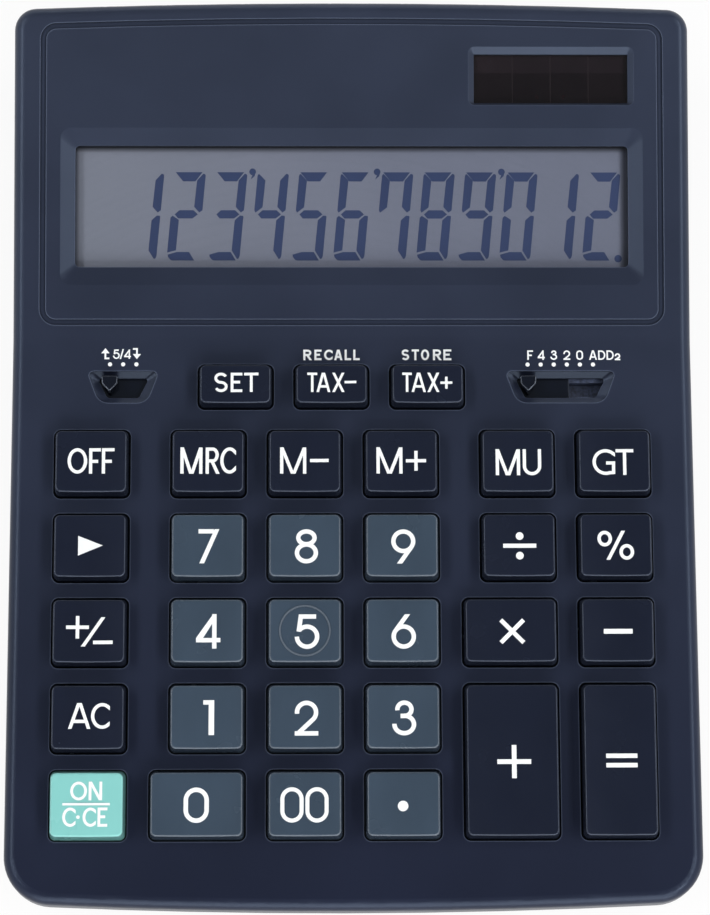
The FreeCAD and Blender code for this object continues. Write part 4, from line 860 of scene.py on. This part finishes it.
SLASH_HALF = 0.37
sign = [
    joined([bar(-60.72, -65.65, 2.5, 0.78, turn) for turn in (0, 90)]),
    ink_strokes(glyph("/", 4.56, 5.71, SLASH_HALF), SLASH_BOX, SLASH_HALF),
    joined([bar(-55.12, -69.0, 2.16, 0.78)]),
]
legend("sign", COLUMNS["a"], KEY_WIDE, sign)
ON = letters_at("ON", [(-61.8, -58.15), (-57.8, -54.85)], -103.55, -99.48)
CCE = letters_at("CCE", [(-63.45, -60.55), (-59.05, -56.15), (-55.8, -53.65)], -109.25, -105.1)
on_text = text_slabs(ON + CCE, 0.62)
on_text += [joined([bar(-58.3, -104.38, 5.15, 0.52)]), joined([ink(disc(-60.05, -107.17, 0.4))])]
legend("on", COLUMNS["a"], KEY_WIDE, on_text)

# Printed labels and dots on the case.
WORD_LABEL = 0.48
LABEL = 0.34
SMALL_LABEL = 0.32
PRINT_RISE = 0.015


def keyboard_print(x, v, z):
    return on_slope(KEY_TILT, x, v, PRINT_RISE if z > 0 else INK_DEPTH)


RECALL = [(-11.08, -9.14), (-8.58, -6.96), (-6.4, -4.47), (-4.13, -2.24), (-1.76, -0.31), (0.18, 1.63)]
STORE = [(11.1, 12.8), (13.37, 15.0), (15.44, 17.3), (18.15, 20.1), (20.5, 22.3)]
PLACES = [
    (39.45, 40.75),
    (41.8, 43.4),
    (44.65, 46.2),
    (47.6, 49.15),
    (50.5, 52.05),
    (53.4, 55.2),
    (55.45, 57.1),
    (57.35, 59.0),
]


def label(name, meshes):
    piece("label_" + name, meshes, keyboard_print, INK, "case")


label("recall", text_slabs(letters_at("RECALL", RECALL, -4.68, -2.25), WORD_LABEL))
label("store", text_slabs(letters_at("STORE", STORE, -4.7, -2.2), WORD_LABEL))
decimals = letters_at("F4320ADD", PLACES, -4.62, -2.43) + [("2", 59.2, 60.45, -4.7, -3.1)]
label("decimals", text_slabs(decimals, LABEL))
half_up = [
    ("5", -53.9, -52.45, -4.38, -2.2),
    ("/", -52.4, -51.45, -4.4, -2.1),
    ("4", -51.4, -49.85, -4.35, -2.2),
]


def arrow(x, v, turn):
    """A stub arrow with a foot to one side; turned by half a turn it points down."""
    shaft = [(-0.2, 0.2), (-0.2, -1.25), (0.9, -1.25), (0.9, -0.85), (0.2, -0.85), (0.2, 0.2)]
    head = [(-0.93, 0.12), (0.93, 0.12), (0.0, 1.32)]
    return joined([ink([(x + px * turn, v + py * turn) for px, py in outline]) for outline in (shaft, head)])


rounding = text_slabs(half_up, SMALL_LABEL) + [arrow(-55.62, -3.2, 1), arrow(-48.53, -3.12, -1)]
label("rounding", rounding)
DOTS = [(x, -5.63) for x in (-54.55, -51.6, -48.62)] + [(39.48 + 2.955 * i, -5.7) for i in range(6)]
label("dots", [joined([ink(disc(x, v, 0.47))]) for x, v in DOTS])

# Display segments: each outline is drawn upright in a cell, then slanted.
W, H, MID = 7.1, 20.2, 10.55
PITCH = 9.44
SLANT = math.tan(math.radians(5.3))
SEGMENTS = {
    "a": [(0.2, H), (2.1, H - 2.1), (W - 2.2, H - 2.1), (W - 0.8, H)],
    "b": [
        (W, H - 0.75),
        (W - 0.22, H - 0.42),
        (W - 0.6, H - 0.36),
        (W - 1.85, H - 1.88),
        (W - 1.95, MID + 1.72),
        (W - 0.68, MID + 0.42),
        (W, MID + 0.95),
    ],
    "c": [
        (W, MID - 0.5),
        (W - 0.15, MID - 0.32),
        (W - 0.8, MID - 0.28),
        (W - 1.9, MID - 1.35),
        (W - 1.95, 2.3),
        (W - 0.55, 0.35),
        (W - 0.2, 0.5),
        (W, 1.1),
    ],
    "d": [(0.15, 1.35), (0.3, 0.8), (1.0, 0.08), (1.4, 0), (W - 0.8, 0), (W - 2.15, 1.95), (2.2, 1.95)],
    "e": [(0, 1.82), (1.95, 2.33), (1.95, MID - 1.25), (0.45, MID - 0.32), (0, MID - 0.75)],
    "f": [
        (0, MID + 0.95),
        (0.3, MID + 0.4),
        (1.8, MID + 1.62),
        (1.9, H - 1.88),
        (0.35, H - 0.4),
        (0.1, H - 0.52),
        (0, H - 0.85),
    ],
    "g": [
        (0.9, MID),
        (1.75, MID - 0.94),
        (W - 2.1, MID - 0.94),
        (W - 0.95, MID),
        (W - 2.05, MID + 0.94),
        (1.85, MID + 0.94),
    ],
}
SHOWN = {
    "0": "abcdef",
    "1": "bc",
    "2": "abdeg",
    "3": "abcdg",
    "4": "bcfg",
    "5": "acdfg",
    "6": "acdefg",
    "7": "abcf",
    "8": "abcdefg",
    "9": "abcdfg",
}
READING = "123456789012"
MARKED = (2, 5, 8)
RIGHT_TOP = -42.6
BASE_V = 18.45
SEGMENT_THICK = 0.02
PANEL_LIFT = -3.4


def slanted(outline, right_top):
    """The outline in its place, run anticlockwise."""
    area = sum(x * outline[i - 1][1] - outline[i - 1][0] * y for i, (x, y) in enumerate(outline))
    placed = [(right_top - (W - x) - (H - y) * SLANT, BASE_V + y) for x, y in outline]
    return placed if area < 0 else placed[::-1]


def shown(*outlines):
    return joined([outline_slab(outline, 0.0, SEGMENT_THICK) for outline in outlines])


def panel_print(x, v, z):
    return on_slope(DISPLAY_TILT, x, v, PANEL_LIFT + z)


segments = []
for i, char in enumerate(READING):
    segments += [shown(slanted(SEGMENTS[name], RIGHT_TOP + i * PITCH)) for name in SHOWN[char]]
for i in MARKED:
    x, v = RIGHT_TOP + i * PITCH + 1.15, BASE_V + H + 0.1
    tail = [(x + 0.1, v - 0.4), (x - 0.45, v - 1.75), (x + 0.45, v - 1.0), (x + 0.74, v)]
    segments.append(shown(disc(x, v, 0.76), tail))
segments.append(shown(disc(60.55, BASE_V + 0.45, 0.85)))
piece("display_segments", segments, panel_print, SEGMENT, "case")

# The solar cell's scribed lines, under its window.
CELL_LIFT = -2.2
CELL_LEFT, CELL_RIGHT, CELL_FRONT, CELL_REAR = 27.9, 62.5, 54.3, 65.1
CELLS = 4
SCRIBE_HALF = 0.06
SCRIBE_THICK = 0.012


def cell_print(x, v, z):
    return on_slope(DISPLAY_TILT, x, v, CELL_LIFT + z)


scribes = []
for i in range(1, CELLS):
    x = CELL_LEFT + (CELL_RIGHT - CELL_LEFT) * i / CELLS
    x0, x1 = x - SCRIBE_HALF, x + SCRIBE_HALF
    corners = [(x0, CELL_FRONT), (x1, CELL_FRONT), (x1, CELL_REAR), (x0, CELL_REAR)]
    scribes.append(joined([outline_slab(corners, 0.0, SCRIBE_THICK)]))
piece("solar_scribes", scribes, cell_print, SOLAR_LINE, "case")


# Floor, backdrop and light.
PAPER = (0.93, 0.93, 0.93, 1.0)


def paper(name, glow):
    """White paper; what the camera, metal and glass see of it shines by itself, by a share."""
    nodes = Nodes(name)
    shader = nodes.surface(Roughness=0.9, Specular_IOR_Level=0.1)
    clouds = nodes.noise(2.0)
    nodes.link(nodes.blend(clouds, shade(PAPER, 0.995), PAPER), shader.inputs["Base Color"])
    paths = nodes.add("ShaderNodeLightPath")
    seen = nodes.add("ShaderNodeMath", operation="MAXIMUM")
    nodes.link(paths.outputs["Is Camera Ray"], seen.inputs[0])
    nodes.link(paths.outputs["Is Glossy Ray"], seen.inputs[1])
    all_seen = nodes.add("ShaderNodeMath", operation="MAXIMUM")
    nodes.link(seen.outputs["Value"], all_seen.inputs[0])
    nodes.link(paths.outputs["Is Transmission Ray"], all_seen.inputs[1])
    share = nodes.remap(all_seen.outputs["Value"], 0.0, glow, 0.0, 1.0)
    glowing = nodes.add("ShaderNodeEmission")
    glowing.inputs["Strength"].default_value = 1.0
    mix = nodes.add("ShaderNodeMixShader")
    nodes.link(share, mix.inputs["Fac"])
    nodes.link(shader.outputs["BSDF"], mix.inputs[1])
    nodes.link(glowing.outputs["Emission"], mix.inputs[2])
    nodes.link(mix.outputs["Shader"], nodes.output.inputs["Surface"])
    return nodes.material


def stage_mesh(name, verts, faces, material):
    mesh = bpy.data.meshes.new(name)
    mesh.from_pydata(verts, [], faces)
    item = bpy.data.objects.new(name, mesh)
    item.data.materials.append(material)
    bpy.context.scene.collection.objects.link(item)


WALL_RADIUS = 3.0
WALL_HIGH = 1.6
WALL_SIDES = 60
FLOOR_Z = -0.0002
angles = [math.radians(360 * i / WALL_SIDES) for i in range(WALL_SIDES)]
around = [(math.cos(angle) * WALL_RADIUS, math.sin(angle) * WALL_RADIUS) for angle in angles]
floor_verts = [(x, y, FLOOR_Z) for x, y in around]
stage_mesh("floor", floor_verts, [tuple(range(WALL_SIDES))], paper("floor", 0.9))
wall_verts = floor_verts + [(x, y, WALL_HIGH) for x, y in around]
wall_faces = []
for i in range(WALL_SIDES):
    k = (i + 1) % WALL_SIDES
    wall_faces.append((i, k, WALL_SIDES + k, WALL_SIDES + i))
stage_mesh("backdrop", wall_verts, wall_faces, paper("backdrop", 1.0))

world = bpy.data.worlds.new("studio")
world.use_nodes = True
sky = world.node_tree.nodes["Background"]
sky.inputs["Color"].default_value = (0.93, 0.96, 1.0, 1.0)
sky.inputs["Strength"].default_value = 0.12
bpy.context.scene.world = world


def softbox(name, place, wide, tall, watts):
    """An area light that faces the part and that the camera doesn't see."""
    light = bpy.data.lights.new(name, "AREA")
    light.shape = "RECTANGLE"
    light.size = wide
    light.size_y = tall
    light.energy = watts
    item = bpy.data.objects.new(name, light)
    item.location = place
    item.rotation_euler = (-Vector(place)).to_track_quat("-Z", "Y").to_euler()
    item.visible_camera = False
    bpy.context.scene.collection.objects.link(item)


SOFTBOXES = [
    ("light_left", (-0.85, 0.05, 1.02), 1.3, 0.3, 7.6),
    ("light_right", (0.85, 0.0, 1.02), 1.3, 0.3, 8.0),
    ("light_front", (0.1, -1.15, 0.6), 1.3, 0.7, 9.0),
    ("light_low", (0.0, -1.25, 0.14), 1.6, 0.2, 4.0),
    ("light_rear", (0.0, 1.25, 0.5), 1.2, 0.3, 1.2),
    ("light_corner", (0.75, -0.85, 0.8), 0.2, 0.2, 3.0),
]
for box in SOFTBOXES:
    softbox(*box)

bpy.context.scene.view_settings.view_transform = "Standard"
